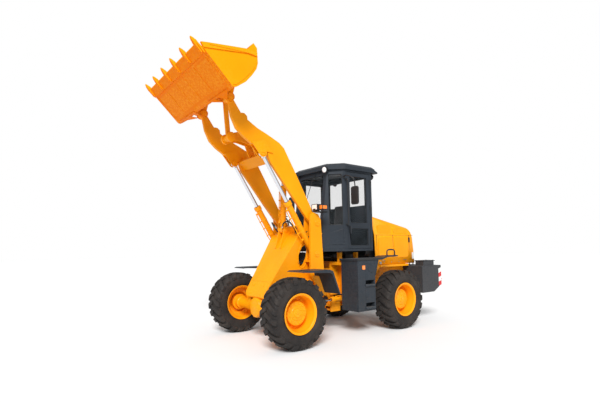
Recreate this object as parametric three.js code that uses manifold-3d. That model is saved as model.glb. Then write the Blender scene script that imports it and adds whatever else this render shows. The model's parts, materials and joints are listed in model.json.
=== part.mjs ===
// Articulated wheel loader with a raised, rolled-back bucket. Millimetres, +Z up, +X forward, +Y left.
// Shapes are drawn in the axle frame: origin on the ground under the front axle's centre.
// The exported group is shifted so that the origin lies under the middle of the whole machine.
import * as THREE from 'three';
import { mergeVertices } from 'three/addons/utils/BufferGeometryUtils.js';
import Module from 'manifold-3d';

const wasm = await Module();
wasm.setup();

// ---- driving dimensions -------------------------------------------------------------------
const FRONT_AXLE_X = 1228;      // front axle ahead of the origin of the whole machine
const WHEELBASE = 2680;
const HALF_TRACK = 930;
const TYRE_RADIUS = 580;
const HALF_TYRE = 205;
const RIM_RADIUS = 305;         // where the tyre's bead sits
const FLANGE_RADIUS = 326;
const HALF_RIM = 165;
const WHEEL_SIDES = 24;
const PIN_SIDES = 12;
const GAP = 0.3;                // between pieces that touch
const CLEAR = 5;                // between pieces that move past each other
const FIT = 1.5;                // between a pin and its bore

const HINGE = { x: -1400, r: 42 };                 // articulation pin, vertical
const BOOM_PIVOT = { x: -820, z: 2100 };
const HINGE_LEVELS = [1160, 440];                  // heights of the two tongues
const STEER = { z: 620, frontX: -1010, frontY: 380, rearX: -1950, rearY: 360 };
const LIFT_BASE = { x: -800, z: 1520 };
const LIFT_EYE = { x: 330, z: 3285 };
const TILT_BASE = { x: -466, z: 1985 };
const TILT_EYE = { x: -500, z: 3300 };
const CRANK_PIVOT = { x: 260, z: 3620 };
const CRANK_NOSE = { x: 712, z: 3600 };
const LINK_TOP = { x: 780, z: 4330 };
const BUCKET_PIN = { x: 982, z: 4120 };

const PIN = { boom: 45, lift: 35, tilt: 30, crank: 35, link: 32, bucket: 40, steer: 22 };

const ARM_Y = 500;              // middle of a boom arm and of its lift cylinder
const ARM_HALF = 30;
const BOSS_HALF = 45;
const CLEVIS_IN = 50;           // clevis plates stand between these distances from the arm's middle
const CLEVIS_OUT = 80;

// ---- materials ----------------------------------------------------------------------------
const paint = (color, roughness, metalness) =>
  new THREE.MeshStandardMaterial({ color, roughness, metalness });
const YELLOW = paint(0xffb017, 0.4, 0.1);
const SLATE = paint(0x383f47, 0.45, 0.1);
const WEIGHT_GREY = paint(0x46474a, 0.5, 0.1);
const BLACK = paint(0x17181a, 0.6, 0.2);
const RUBBER = paint(0x2b2624, 0.9, 0);
const CHROME = paint(0xd8dce0, 0.15, 1);
const CLOTH = paint(0x2a2a2c, 0.9, 0);

// ---- solids -------------------------------------------------------------------------------
function solidOf(geometry) {
  const bare = geometry.clone();
  bare.deleteAttribute('normal');
  bare.deleteAttribute('uv');
  const merged = mergeVertices(bare, 1e-3);
  const vertProperties = new Float32Array(merged.attributes.position.array);
  const triVerts = new Uint32Array(merged.index.array);
  return new wasm.Manifold(new wasm.Mesh({ numProp: 3, vertProperties, triVerts }));
}

function geometryOf(solid) {
  const mesh = solid.getMesh();
  const geometry = new THREE.BufferGeometry();
  geometry.setAttribute('position', new THREE.BufferAttribute(new Float32Array(mesh.vertProperties), 3));
  geometry.setIndex(new THREE.BufferAttribute(new Uint32Array(mesh.triVerts), 1));
  return geometry;
}

const union = (...parts) => parts.flat(Infinity).reduce((sum, part) => sum.add(part));
const cut = (body, ...tools) => tools.flat(Infinity).reduce((rest, tool) => rest.subtract(tool), body);

function moved(geometry, matrix) {
  geometry.applyMatrix4(matrix);
  return solidOf(geometry);
}

const basis = (x, y, z) => new THREE.Matrix4().makeBasis(
  new THREE.Vector3(...x), new THREE.Vector3(...y), new THREE.Vector3(...z));

function extrusion(points, depth) {
  const shape = new THREE.Shape(points.map(([a, b]) => new THREE.Vector2(a, b)));
  return new THREE.ExtrudeGeometry(shape, { depth, bevelEnabled: false, curveSegments: 6 });
}

// outline in (x, z), from y0 to y1
function sidePlate(points, y0, y1) {
  const lower = Math.min(y0, y1);
  const toSide = basis([1, 0, 0], [0, 0, 1], [0, -1, 0]).setPosition(0, lower + Math.abs(y1 - y0), 0);
  return moved(extrusion(points, Math.abs(y1 - y0)), toSide);
}

// outline in (y, z), from x0 to x1
function crossPlate(points, x0, x1) {
  const toCross = basis([0, 1, 0], [0, 0, 1], [1, 0, 0]).setPosition(x0, 0, 0);
  return moved(extrusion(points, x1 - x0), toCross);
}

// outline in (x, y), from z0 to z1
function deckPlate(points, z0, z1) {
  return moved(extrusion(points, z1 - z0), new THREE.Matrix4().setPosition(0, 0, z0));
}

function box(x0, x1, y0, y1, z0, z1) {
  const geometry = new THREE.BoxGeometry(x1 - x0, y1 - y0, z1 - z0);
  return moved(geometry, new THREE.Matrix4().setPosition((x0 + x1) / 2, (y0 + y1) / 2, (z0 + z1) / 2));
}

// round bar between two points
function bar(a, b, radius, sides = 12) {
  const from = new THREE.Vector3(...a);
  const to = new THREE.Vector3(...b);
  const axis = to.clone().sub(from);
  const upright = new THREE.Vector3(0, 1, 0);
  const turn = new THREE.Quaternion().setFromUnitVectors(upright, axis.clone().normalize());
  const middle = from.clone().add(to).multiplyScalar(0.5);
  const geometry = new THREE.CylinderGeometry(radius, radius, axis.length(), sides);
  return moved(geometry, new THREE.Matrix4().compose(middle, turn, new THREE.Vector3(1, 1, 1)));
}

const pinAlongY = (pin, radius, y0, y1, sides = PIN_SIDES) =>
  bar([pin.x, y0, pin.z], [pin.x, y1, pin.z], radius, sides);

// a pin with a round head outside each of the two plates that it passes through
function headedPin(pin, radius, y0, y1, headRadius, headHalf) {
  const heads = [y0, y1].map((y) => pinAlongY(pin, headRadius, y - headHalf, y + headHalf));
  return union(pinAlongY(pin, radius, y0, y1), heads);
}

// a bore's flats stay clear of a turning pin's corners
const boreRadius = (pinRadius, room = FIT) => (pinRadius + room) / Math.cos(Math.PI / PIN_SIDES);
const boreAlongY = (pin, pinRadius, y0, y1, room = FIT) =>
  pinAlongY(pin, boreRadius(pinRadius, room), y0, y1);

// two outlines with the same number of points, one above the other
function loft(lower, z0, upper, z1) {
  const count = lower.length;
  const points = [...lower.map(([x, y]) => [x, y, z0]), ...upper.map(([x, y]) => [x, y, z1])];
  const faces = [];
  const caps = THREE.ShapeUtils.triangulateShape(lower.map(([x, y]) => new THREE.Vector2(x, y)), []);
  for (const [a, b, c] of caps) {
    faces.push([a, c, b], [a + count, b + count, c + count]);
  }
  for (let i = 0; i < count; i++) {
    const j = (i + 1) % count;
    faces.push([i, j, j + count], [i, j + count, i + count]);
  }
  const geometry = new THREE.BufferGeometry();
  geometry.setAttribute('position', new THREE.Float32BufferAttribute(points.flat(), 3));
  geometry.setIndex(faces.flat());
  return solidOf(geometry);
}

// tube that follows straight runs with round bends
function bentTube(points, radius) {
  const path = new THREE.CatmullRomCurve3(points.map((p) => new THREE.Vector3(...p)), false, 'centripetal');
  const ring = new THREE.Shape().absarc(0, 0, radius, 0, Math.PI * 2);
  const options = { steps: points.length * 2, extrudePath: path, curveSegments: 2, bevelEnabled: false };
  return solidOf(new THREE.ExtrudeGeometry(ring, options));
}

const mirrored = (points) => [...points, ...points.map(([a, b]) => [a, -b]).reverse()];
const across = (points) => [...points, ...points.map(([a, b]) => [-a, b]).reverse()];

// points of an arc round a pin, in (x, z), angles in degrees
function arc(pin, radius, from, to, steps = 6) {
  return Array.from({ length: steps + 1 }, (_, i) => {
    const angle = THREE.MathUtils.degToRad(from + (to - from) * i / steps);
    return [pin.x + radius * Math.cos(angle), pin.z + radius * Math.sin(angle)];
  });
}

// ---- the scene graph ----------------------------------------------------------------------
const loader = new THREE.Group();
loader.position.x = FRONT_AXLE_X;

function add(name, solid, material, parent = loader) {
  const mesh = new THREE.Mesh(geometryOf(solid), material);
  mesh.name = name;
  parent.add(mesh);
  return mesh;
}

const SIDES = [['left', 1], ['right', -1]];
const onSide = (solid, side) => (side > 0 ? solid : solid.mirror([0, 1, 0]));

// ---- wheels -------------------------------------------------------------------------------
// Lathes are drawn as [radius, distance from the wheel's middle, outwards positive].
function lathe(profile) {
  const geometry = new THREE.LatheGeometry(profile.map(([r, y]) => new THREE.Vector2(r, y)), WHEEL_SIDES);
  geometry.rotateY(Math.PI / WHEEL_SIDES);
  return solidOf(geometry);
}

function tyreSolid() {
  const corner = TYRE_RADIUS / Math.cos(Math.PI / WHEEL_SIDES);
  const half = [[RIM_RADIUS + 1.8, HALF_RIM - 2], [FLANGE_RADIUS + 14, HALF_RIM + 3],
    [420, HALF_TYRE], [corner - 45, HALF_TYRE - 8], [corner, HALF_TYRE - 50]];
  const back = half.map(([r, y]) => [r, -y]).reverse();
  return lathe([...half, ...back, half[0]].reverse());
}

function rimSolid() {
  const lip = HALF_RIM + 1;
  return lathe([
    [RIM_RADIUS, lip], [FLANGE_RADIUS, lip], [FLANGE_RADIUS, lip + 16], [RIM_RADIUS - 8, lip + 16],
    [RIM_RADIUS - 26, 48], [190, 52], [182, 78], [0, 78], [0, 18],
    [RIM_RADIUS - 26, 12], [RIM_RADIUS - 8, -lip - 12],
    [FLANGE_RADIUS, -lip - 12], [FLANGE_RADIUS, -lip], [RIM_RADIUS, -lip], [RIM_RADIUS, lip],
  ]);
}

const tyre = geometryOf(tyreSolid());
const rim = geometryOf(rimSolid());
for (const [end, x] of [['front', 0], ['rear', -WHEELBASE]]) {
  for (const [name, side] of SIDES) {
    const wheel = new THREE.Group();
    wheel.position.set(x, side * HALF_TRACK, TYRE_RADIUS);
    wheel.rotation.z = side > 0 ? 0 : Math.PI;
    for (const [part, geometry, material] of [['tyre', tyre, RUBBER], ['rim', rim, YELLOW]]) {
      const mesh = new THREE.Mesh(geometry, material);
      mesh.name = `${part}_${end}_${name}`;
      wheel.add(mesh);
    }
    loader.add(wheel);
  }
}

// ---- axles --------------------------------------------------------------------------------
const AXLE_END = HALF_TRACK + 8;       // the hub's face, 10 mm inside the wheel disc

function axleSolid(x, shaftTo, padHeight) {
  const z = TYRE_RADIUS;
  const tube = bar([x, -AXLE_END, z], [x, AXLE_END, z], 88, 12);
  const hubs = SIDES.map(([, s]) => bar([x, s * (AXLE_END - 90), z], [x, s * AXLE_END, z], 150, 12));
  const drums = SIDES.map(([, s]) => bar([x, s * (AXLE_END - 190), z], [x, s * (AXLE_END - 90), z], 118, 12));
  const bulge = new THREE.SphereGeometry(205, 10, 6);
  bulge.scale(0.85, 1.25, 1);
  const differential = moved(bulge, new THREE.Matrix4().setPosition(x, 0, z - 10));
  const pads = SIDES.map(([, s]) => {
    const [y0, y1] = s > 0 ? [300, 390] : [-390, -300];
    return box(x - 90, x + 90, y0, y1, z, padHeight);
  });
  const nose = bar([x, 0, z], [shaftTo, 0, z], 52, 10);
  const yoke = bar([x, 0, z], [x + Math.sign(shaftTo - x) * 330, 0, z], 95, 12);
  return union(tube, hubs, drums, differential, pads, nose, yoke);
}

const AXLE_PAD_TOP = 715;
add('front_axle', axleSolid(0, HINGE.x + 190, AXLE_PAD_TOP), YELLOW);
add('rear_axle', axleSolid(-WHEELBASE, -1990, AXLE_PAD_TOP), YELLOW);

// ---- front frame --------------------------------------------------------------------------
const TOWER_IN = [ARM_Y - 105, ARM_Y - BOSS_HALF - CLEAR - 15];
const TOWER_OUT = [ARM_Y + BOSS_HALF + CLEAR + 15, ARM_Y + 105];
const NOSE_TOP = [-503, 1863];
const NOSE_FOOT = [171, 850];

function frontFrame() {
  // sloping nose between two side plates that narrow downwards
  const waist = [[435, 2290], [435, 1863], [318, 850], [300, 716], [300, 380]];
  const side = [NOSE_TOP, NOSE_FOOT, [171, 770], [100, 716], [-480, 716], [-620, 520], [-900, 400],
    [-1150, 400], [-1150, 1230], [-900, 1330], [-890, 2080], [-740, 2250], [-660, 2210], [-640, 1950]];
  const inside = [[-545, 1863], [-530, 1840], [130, 850], [130, 690], [-520, 690], [-640, 380], [-1175, 380],
    [-1175, 1200], [-930, 1300], [-930, 2300], [-640, 2300], [-640, 1863]];
  const outerShell = sidePlate(side, -440, 440).intersect(crossPlate(across(waist), -1200, 300));
  const thin = waist.map(([y, z]) => [y - 26, z]);
  thin[0][1] = 2400;
  thin[4][1] = 300;
  const innerShell = sidePlate(inside, -440, 440).intersect(crossPlate(across(thin), -1300, 300));
  const shell = cut(outerShell, innerShell);
  // window in each side plate, where the hoses pass
  const hole = new THREE.Shape().absellipse(0, 0, 95, 215, 0, Math.PI * 2, false, 0.25);
  const holeOptions = { depth: 1000, bevelEnabled: false, curveSegments: 4 };
  const windowTool = moved(new THREE.ExtrudeGeometry(hole, holeOptions),
    basis([1, 0, 0], [0, 0, 1], [0, -1, 0]).setPosition(-625, 500, 1490));
  // cross plate with a peak that carries the tilt cylinder
  const peak = across([[80, 2060], [425, 1880], [400, 1500]]);
  const cross = crossPlate(peak, -640, -610);
  const head = box(-640, -503, -405, 405, 1838, 1863);
  const gusset = [...arc(TILT_BASE, 58, 60, -40, 4), [-330, 1640], [-400, 1640], [-535, 1840], [-612, 1840],
    [-612, 2000]];
  const lugs = SIDES.map(([, s]) => sidePlate(gusset, s * 66, s * 90));
  const belly = box(-1150, -560, -292, 292, 1060, 1085);
  const back = box(-1150, -1122, -290, 290, 400, 1210);

  // towers: outer plates, joined to the inner ones by a web and by the pins
  const tower = [[-656, 2234], [-719, 2290], [-840, 2262], [-904, 2157], [-939, 1554], [-958, 1243],
    [-984, 760], [-900, 740], [-640, 1170]];
  const towers = SIDES.map(([, s]) => onSide(union(
    sidePlate(tower, ...TOWER_OUT),
    box(-930, -690, 360, TOWER_OUT[0] + 5, 1030, 1060),
    box(-930, -690, 380, TOWER_OUT[0] + 5, 1375, 1400),
    box(-945, -915, 345, TOWER_OUT[0] + 5, 900, 1400),
    pinAlongY(BOOM_PIVOT, PIN.boom, TOWER_IN[0], TOWER_OUT[1] + 8),
    pinAlongY(LIFT_BASE, PIN.lift, TOWER_IN[0], TOWER_OUT[1] + 8),
  ), s));

  // articulation tongues
  const roundEnd = (z0, z1) => bar([HINGE.x, 0, z0], [HINGE.x, 0, z1], 110, 14);
  const bore = bar([HINGE.x, 0, 400], [HINGE.x, 0, 1400], boreRadius(HINGE.r), PIN_SIDES);
  const tongues = HINGE_LEVELS.map((z) => union(
    deckPlate([[-1130, -230], [-1130, 230], [-1290, 110], [HINGE.x, 110], [HINGE.x, -110], [-1290, -110]],
      z - 20, z + 20), roundEnd(z - 20, z + 20)));

  // brackets of the steering rods and of the fenders
  const steerLugs = SIDES.map(([, s]) => [STEER.z - 62, STEER.z + 42].map((z) => {
    const y = s * STEER.frontY;
    return union(bar([STEER.frontX, y, z], [STEER.frontX, y, z + 20], 52),
      box(STEER.frontX - 52, STEER.frontX + 52, Math.min(s * 285, y), Math.max(s * 285, y), z, z + 20));
  }));
  const fenderPads = SIDES.map(([, s]) => onSide(
    box(-790, -710, TOWER_OUT[1] - 5, TOWER_OUT[1] + 14, 1120, 1260), s));
  const rib = box(-1200, -1130, -15, 15, 700, 1150);
  const shaftWay = bar([-1300, 0, TYRE_RADIUS], [-400, 0, TYRE_RADIUS], 80, 10);
  return cut(union(shell, cross, head, lugs, belly, back, towers, tongues, steerLugs, fenderPads, rib),
    windowTool, bore, shaftWay, boreAlongY(TILT_BASE, PIN.tilt, -100, 100));
}
add('front_frame', frontFrame(), YELLOW);

// ---- fenders and head lamps ---------------------------------------------------------------
const FENDER = { y0: TOWER_OUT[1] + 14 + GAP, y1: 1120 };

function fender() {
  const outer = [[-10, 1240], [-60, 1262], [-640, 1262], [-715, 1235], [-880, 830]];
  const inner = [[-860, 830], [-700, 1215], [-640, 1240], [-60, 1244]];
  const skin = sidePlate([...outer, ...inner], 720, FENDER.y1);
  const edge = [...outer, [-850, 830], [-690, 1190], [-640, 1205], [-60, 1236]];
  const lip = sidePlate(edge, FENDER.y1 - 18, FENDER.y1);
  const bracket = box(-790, -710, FENDER.y0, 726, 1130, 1250);
  return union(skin, lip, bracket);
}

function headLamp() {
  const bracket = union(box(-1000, -740, 555, 700, 2292, 2310), box(-790, -740, 575, 650, 2292, 2360));
  const shell = box(-860, -745, 540, 695, 2330, 2440);
  const stem = box(-850, -800, 580, 640, 2300, 2340);
  const indicator = box(-930, -800, 695, 770, 2340, 2422);
  return union(bracket, shell, stem, indicator);
}

for (const [name, side] of SIDES) {
  add(`fender_${name}`, onSide(fender(), side), SLATE);
  add(`head_lamp_${name}`, onSide(headLamp(), side), BLACK);
}

// ---- boom ---------------------------------------------------------------------------------
function boomSolid() {
  const upper = [[905, 4110], [759, 3907], [735, 3912], [690, 3912], [640, 3872], [630, 3811], [435, 3700],
    [234, 3622], [-20, 3510], [-127, 3424], [-204, 3293], [-343, 3064], [-770, 2317]];
  const lower = [[-619, 2197], [-350, 2512], [-57, 2870], [165, 3134], [210, 3250], [255, 3362], [430, 3392],
    [550, 3420], [713, 3520], [846, 3636], [937, 3822], [987, 4048]];
  const nearPivot = arc(BOOM_PIVOT, 75, 150, 300, 6);
  const plate = [...upper, ...nearPivot, ...lower];
  const lugShape = [...arc(LIFT_EYE, 78, 160, 320, 6), [560, 3440], [300, 3520], [120, 3300]];
  const arms = SIDES.map(([, s]) => {
    const at = (a, b) => [s * (ARM_Y + a), s * (ARM_Y + b)];
    const arm = union(
      sidePlate(plate, ...at(-ARM_HALF, ARM_HALF)),
      pinAlongY(BUCKET_PIN, 80, ...at(-BOSS_HALF, BOSS_HALF), 16),
      pinAlongY(BOOM_PIVOT, 75, ...at(-BOSS_HALF, BOSS_HALF), 16),
      sidePlate(lugShape, ...at(ARM_HALF - 2, 48)),
      sidePlate(lugShape, ...at(-48, 2 - ARM_HALF)),
    );
    const lugPocket = [[330, 3180], [600, 3180], [600, 3428], [550, 3414], [430, 3386], [330, 3370]];
    return cut(arm, boreAlongY(BUCKET_PIN, PIN.bucket, ...at(-100, 100)),
      boreAlongY(BOOM_PIVOT, PIN.boom, ...at(-100, 100)),
      sidePlate(arc(LIFT_EYE, 84, 0, 330, 11), ...at(-36, 36)),
      sidePlate(lugPocket, ...at(-36, 36)));
  });
  const beam = sidePlate([[240, 3300], [101, 3154], [-15, 3264], [124, 3410]], -475, 475);
  const crankLug = [...arc(CRANK_PIVOT, 72, -20, 200, 7), [60, 3330], [190, 3260]];
  const lugs = SIDES.map(([, s]) => sidePlate(crankLug, s * 95, s * 125));
  return cut(union(arms, beam, lugs), boreAlongY(CRANK_PIVOT, PIN.crank, -150, 150));
}
add('boom', boomSolid(), YELLOW);

function crankSolid() {
  const toRod = arc(TILT_EYE, 70, 75, 285, 7);
  const toLink = arc(CRANK_NOSE, 65, -95, 65, 6);
  const aroundPivot = arc(CRANK_PIVOT, 110, 230, 300, 4);
  const outline = [...toRod, [-120, 3440], [90, 3540], ...aroundPivot, [520, 3560], ...toLink,
    [540, 3730], [300, 3760], [60, 3690], [-250, 3520]];
  const plates = SIDES.map(([, s]) => sidePlate(outline, s * 55, s * 85));
  const hub = pinAlongY(CRANK_PIVOT, 78, -90, 90, 14);
  const caps = SIDES.map(([, s]) => pinAlongY(TILT_EYE, 34, s * 54, s * 96));
  return cut(union(plates, hub, caps), boreAlongY(CRANK_PIVOT, PIN.crank, -150, 150),
    boreAlongY(CRANK_NOSE, PIN.link, -150, 150));
}
add('bellcrank', crankSolid(), YELLOW);

// flat bar between two eyes, drawn along the line that joins them
function eyeBar(from, to, eyeRadius, half, width, thick) {
  const dx = to.x - from.x;
  const dz = to.z - from.z;
  const length = Math.hypot(dx, dz);
  const n = [-dz / length * width / 2, dx / length * width / 2];
  const strip = [[from.x + n[0], from.z + n[1]], [from.x - n[0], from.z - n[1]],
    [to.x - n[0], to.z - n[1]], [to.x + n[0], to.z + n[1]]];
  return union(pinAlongY(from, eyeRadius, -half, half, 14), pinAlongY(to, eyeRadius, -half, half, 14),
    sidePlate(strip.reverse(), -thick / 2, thick / 2));
}
add('bucket_link', cut(eyeBar(CRANK_NOSE, LINK_TOP, 62, 48, 72, 56),
  boreAlongY(CRANK_NOSE, PIN.link, -100, 100), boreAlongY(LINK_TOP, PIN.link, -100, 100, 8)), YELLOW);

add('bellcrank_pin', headedPin(CRANK_PIVOT, PIN.crank, -136, 136, 56, 6), CHROME);
// larger heads than in the photo: their inertia holds this light body to its coupling ratio in simulation
add('link_pin', headedPin(CRANK_NOSE, PIN.link, -108, 108, 88, 18), CHROME);
for (const [name, side] of SIDES) {
  const [inner, outer] = [-1, 1].map((end) => side * ARM_Y + end * (CLEVIS_OUT + 10));
  add(`bucket_pin_${name}`, headedPin(BUCKET_PIN, PIN.bucket, inner, outer, 56, 6), CHROME);
}
add('tilt_base_pin', headedPin(TILT_BASE, PIN.tilt, -100, 100, 46, 6), CHROME);

// ---- bucket -------------------------------------------------------------------------------
const BUCKET_HALF = 1085;
const HEEL = [1221, 4068];
const SEAM = [1649, 4482];
const EDGE = [1766, 4590];
const floorLength = Math.hypot(EDGE[0] - HEEL[0], EDGE[1] - HEEL[1]);
const ALONG = [(EDGE[0] - HEEL[0]) / floorLength, (EDGE[1] - HEEL[1]) / floorLength];
const onFloor = (start, along, up) => [start[0] + ALONG[0] * along - ALONG[1] * up,
  start[1] + ALONG[1] * along + ALONG[0] * up];

function bucketSolid() {
  const outside = [HEEL, [1190, 4062], [1150, 4085], [1000, 4222], [893, 4338], [815, 4450],
    [779, 4545], [779, 4681]];
  const inside = [[799, 4681], [799, 4550], [833, 4460], [909, 4350], [1014, 4236], [1158, 4104],
    [1190, 4084], [1213, 4088]];
  const rim = [HEEL, [1178, 4060], [1125, 4090], [985, 4192], [880, 4316], [796, 4440],
    [769, 4540], [779, 4681]];
  const sheet = [onFloor(SEAM, 0, 0), ...outside, ...inside, onFloor(SEAM, 0, 18)];
  const cheek = [onFloor(SEAM, 60, 0), ...rim, [784, 4700], [960, 4716], [1640, 4612],
    onFloor(SEAM, 140, 20)];
  const guard = [[779, 4675], [784, 4781], [849, 4846], [861, 4832], [803, 4771], [799, 4675]];
  const cheeks = SIDES.map(([, s]) => sidePlate(cheek, s * (BUCKET_HALF - 20), s * BUCKET_HALF));
  const wings = SIDES.map(([, s]) => sidePlate([[779, 4675], [784, 4781], [849, 4846], [955, 4721]],
    s * (BUCKET_HALF - 20), s * BUCKET_HALF));
  const band = [[790, 4640], [784, 4700], [960, 4716], [1640, 4612], onFloor(SEAM, 140, 20),
    onFloor(SEAM, 60, 2), [960, 4645]];
  const bands = SIDES.map(([, s]) => sidePlate(band, s * (BUCKET_HALF - 4), s * (BUCKET_HALF + 14)));
  const pinLug = [...arc(BUCKET_PIN, 76, 130, 345, 9), [1290, 4130], [1240, 4180], [900, 4310]];
  const linkLug = [...arc(LINK_TOP, 66, 100, 280, 7), [960, 4230], [900, 4330], [812, 4450]];
  const outer = SIDES.map(([, s]) => [
    sidePlate(pinLug, s * (ARM_Y + CLEVIS_IN), s * (ARM_Y + CLEVIS_OUT)),
    sidePlate(pinLug, s * (ARM_Y - CLEVIS_OUT), s * (ARM_Y - CLEVIS_IN)),
    sidePlate(linkLug, s * 56, s * 86),
    pinAlongY(LINK_TOP, PIN.link, s * 54, s * 96),
  ]);
  const hollow = sidePlate([[1600, 4800], [861, 4900], ...inside, onFloor(SEAM, 0, 18)],
    20 - BUCKET_HALF, BUCKET_HALF - 20);
  const body = cut(union(sidePlate(sheet, -BUCKET_HALF, BUCKET_HALF), outer.flat()), hollow);
  return cut(union(body, sidePlate(guard, -BUCKET_HALF, BUCKET_HALF), cheeks, wings, bands),
    SIDES.map(([, s]) => boreAlongY(BUCKET_PIN, PIN.bucket, s * (ARM_Y - 120), s * (ARM_Y + 120))));
}
add('bucket', bucketSolid(), YELLOW);

const TEETH = 6;
const TOOTH_PITCH = 408;

function cuttingEdgeSolid() {
  const seam = onFloor(SEAM, GAP, 0);
  const blade = sidePlate([onFloor(seam, 0, -24), onFloor(seam, 158, -24), onFloor(seam, 166, -16),
    onFloor(seam, 150, 2), onFloor(seam, 60, 14), onFloor(seam, 0, 14)], 22 - BUCKET_HALF, BUCKET_HALF - 22);
  const tooth = [[12, -20], [12, -44], [170, -48], [280, -22], [280, -10], [170, 14], [110, 14],
    [110, -20]].map(([along, up]) => onFloor(seam, along, up));
  const teeth = Array.from({ length: TEETH }, (_, i) => {
    const y = (i - (TEETH - 1) / 2) * TOOTH_PITCH;
    return sidePlate(tooth, y - 32, y + 32);
  });
  return union(blade, teeth);
}
add('cutting_edge', cuttingEdgeSolid(), YELLOW);

// ---- cylinders ----------------------------------------------------------------------------
// A cylinder's barrel ends in an eye at its base; its rod slides out of the gland towards the rod's eye.
// Distances are along the axis from the base: gland is the barrel's mouth, tail the rod's inner end.
function cylinderSolids(size) {
  const { base, eye, barrelRadius, rodRadius, gland, tail } = size;
  const { half, pin, slack, eyeRadius, upright } = size;
  const from = new THREE.Vector3(...base);
  const to = new THREE.Vector3(...eye);
  const axis = to.clone().sub(from);
  const length = axis.length();
  const unit = axis.clone().normalize();
  const at = (distance) => from.clone().addScaledVector(unit, distance).toArray();
  const cross = upright ? [0, 0, 1] : [0, 1, 0];
  const eyeAt = (point, radius, reach) => bar(point.map((v, i) => v - cross[i] * reach),
    point.map((v, i) => v + cross[i] * reach), radius, 12);
  const barrel = union(
    bar(at(eyeRadius + 16), at(gland), barrelRadius, 12),
    bar(at(gland - 70), at(gland), barrelRadius + 14, 12),
    eyeAt(base, eyeRadius, half),
    bar(at(eyeRadius * 0.6), at(eyeRadius + 30), Math.min(half, barrelRadius) * 0.95, 10),
  );
  const bore = bar(at(eyeRadius + 50), at(gland + 50), rodRadius + FIT, 12);
  const rod = union(
    bar(at(tail), at(length - eyeRadius * 0.5), rodRadius, 12),
    eyeAt(eye, eyeRadius, half),
  );
  const pinHole = (point, room) => eyeAt(point, boreRadius(pin, room), half + 50);
  return { barrel: cut(barrel, bore, pinHole(base, FIT)), rod: cut(rod, pinHole(eye, slack)) };
}

for (const [name, side] of SIDES) {
  const y = side * ARM_Y;
  const lift = cylinderSolids({
    base: [LIFT_BASE.x, y, LIFT_BASE.z], eye: [LIFT_EYE.x, y, LIFT_EYE.z],
    barrelRadius: 57, rodRadius: 33, gland: 1120, tail: 970, half: 31, pin: PIN.lift, slack: 6, eyeRadius: 62,
  });
  add(`lift_barrel_${name}`, lift.barrel, YELLOW);
  add(`lift_rod_${name}`, lift.rod, CHROME);
  const steer = cylinderSolids({
    base: [STEER.rearX, side * STEER.rearY, STEER.z], eye: [STEER.frontX, side * STEER.frontY, STEER.z],
    barrelRadius: 40, rodRadius: 20, gland: 610, tail: 360, half: 36, pin: PIN.steer, slack: 8, eyeRadius: 42,
    upright: true,
  });
  add(`steering_barrel_${name}`, steer.barrel, YELLOW);
  add(`steering_rod_${name}`, steer.rod, CHROME);
}
const tilt = cylinderSolids({
  base: [TILT_BASE.x, 0, TILT_BASE.z], eye: [TILT_EYE.x, 0, TILT_EYE.z],
  barrelRadius: 60, rodRadius: 36, gland: 850, tail: 700, half: 48, pin: PIN.tilt, slack: 8, eyeRadius: 58,
});
add('tilt_barrel', tilt.barrel, YELLOW);
add('tilt_rod', tilt.rod, CHROME);

// ---- rear frame ---------------------------------------------------------------------------
const RAIL = { y0: 325, y1: 385, z0: 930, z1: 1240, front: -1670, back: -3585 };
const TANK = { x0: -1440, x1: -2030, y0: 570, y1: 1000, z0: 440, z1: 1385 };
const CAB_BOTTOM = 1560;

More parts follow.
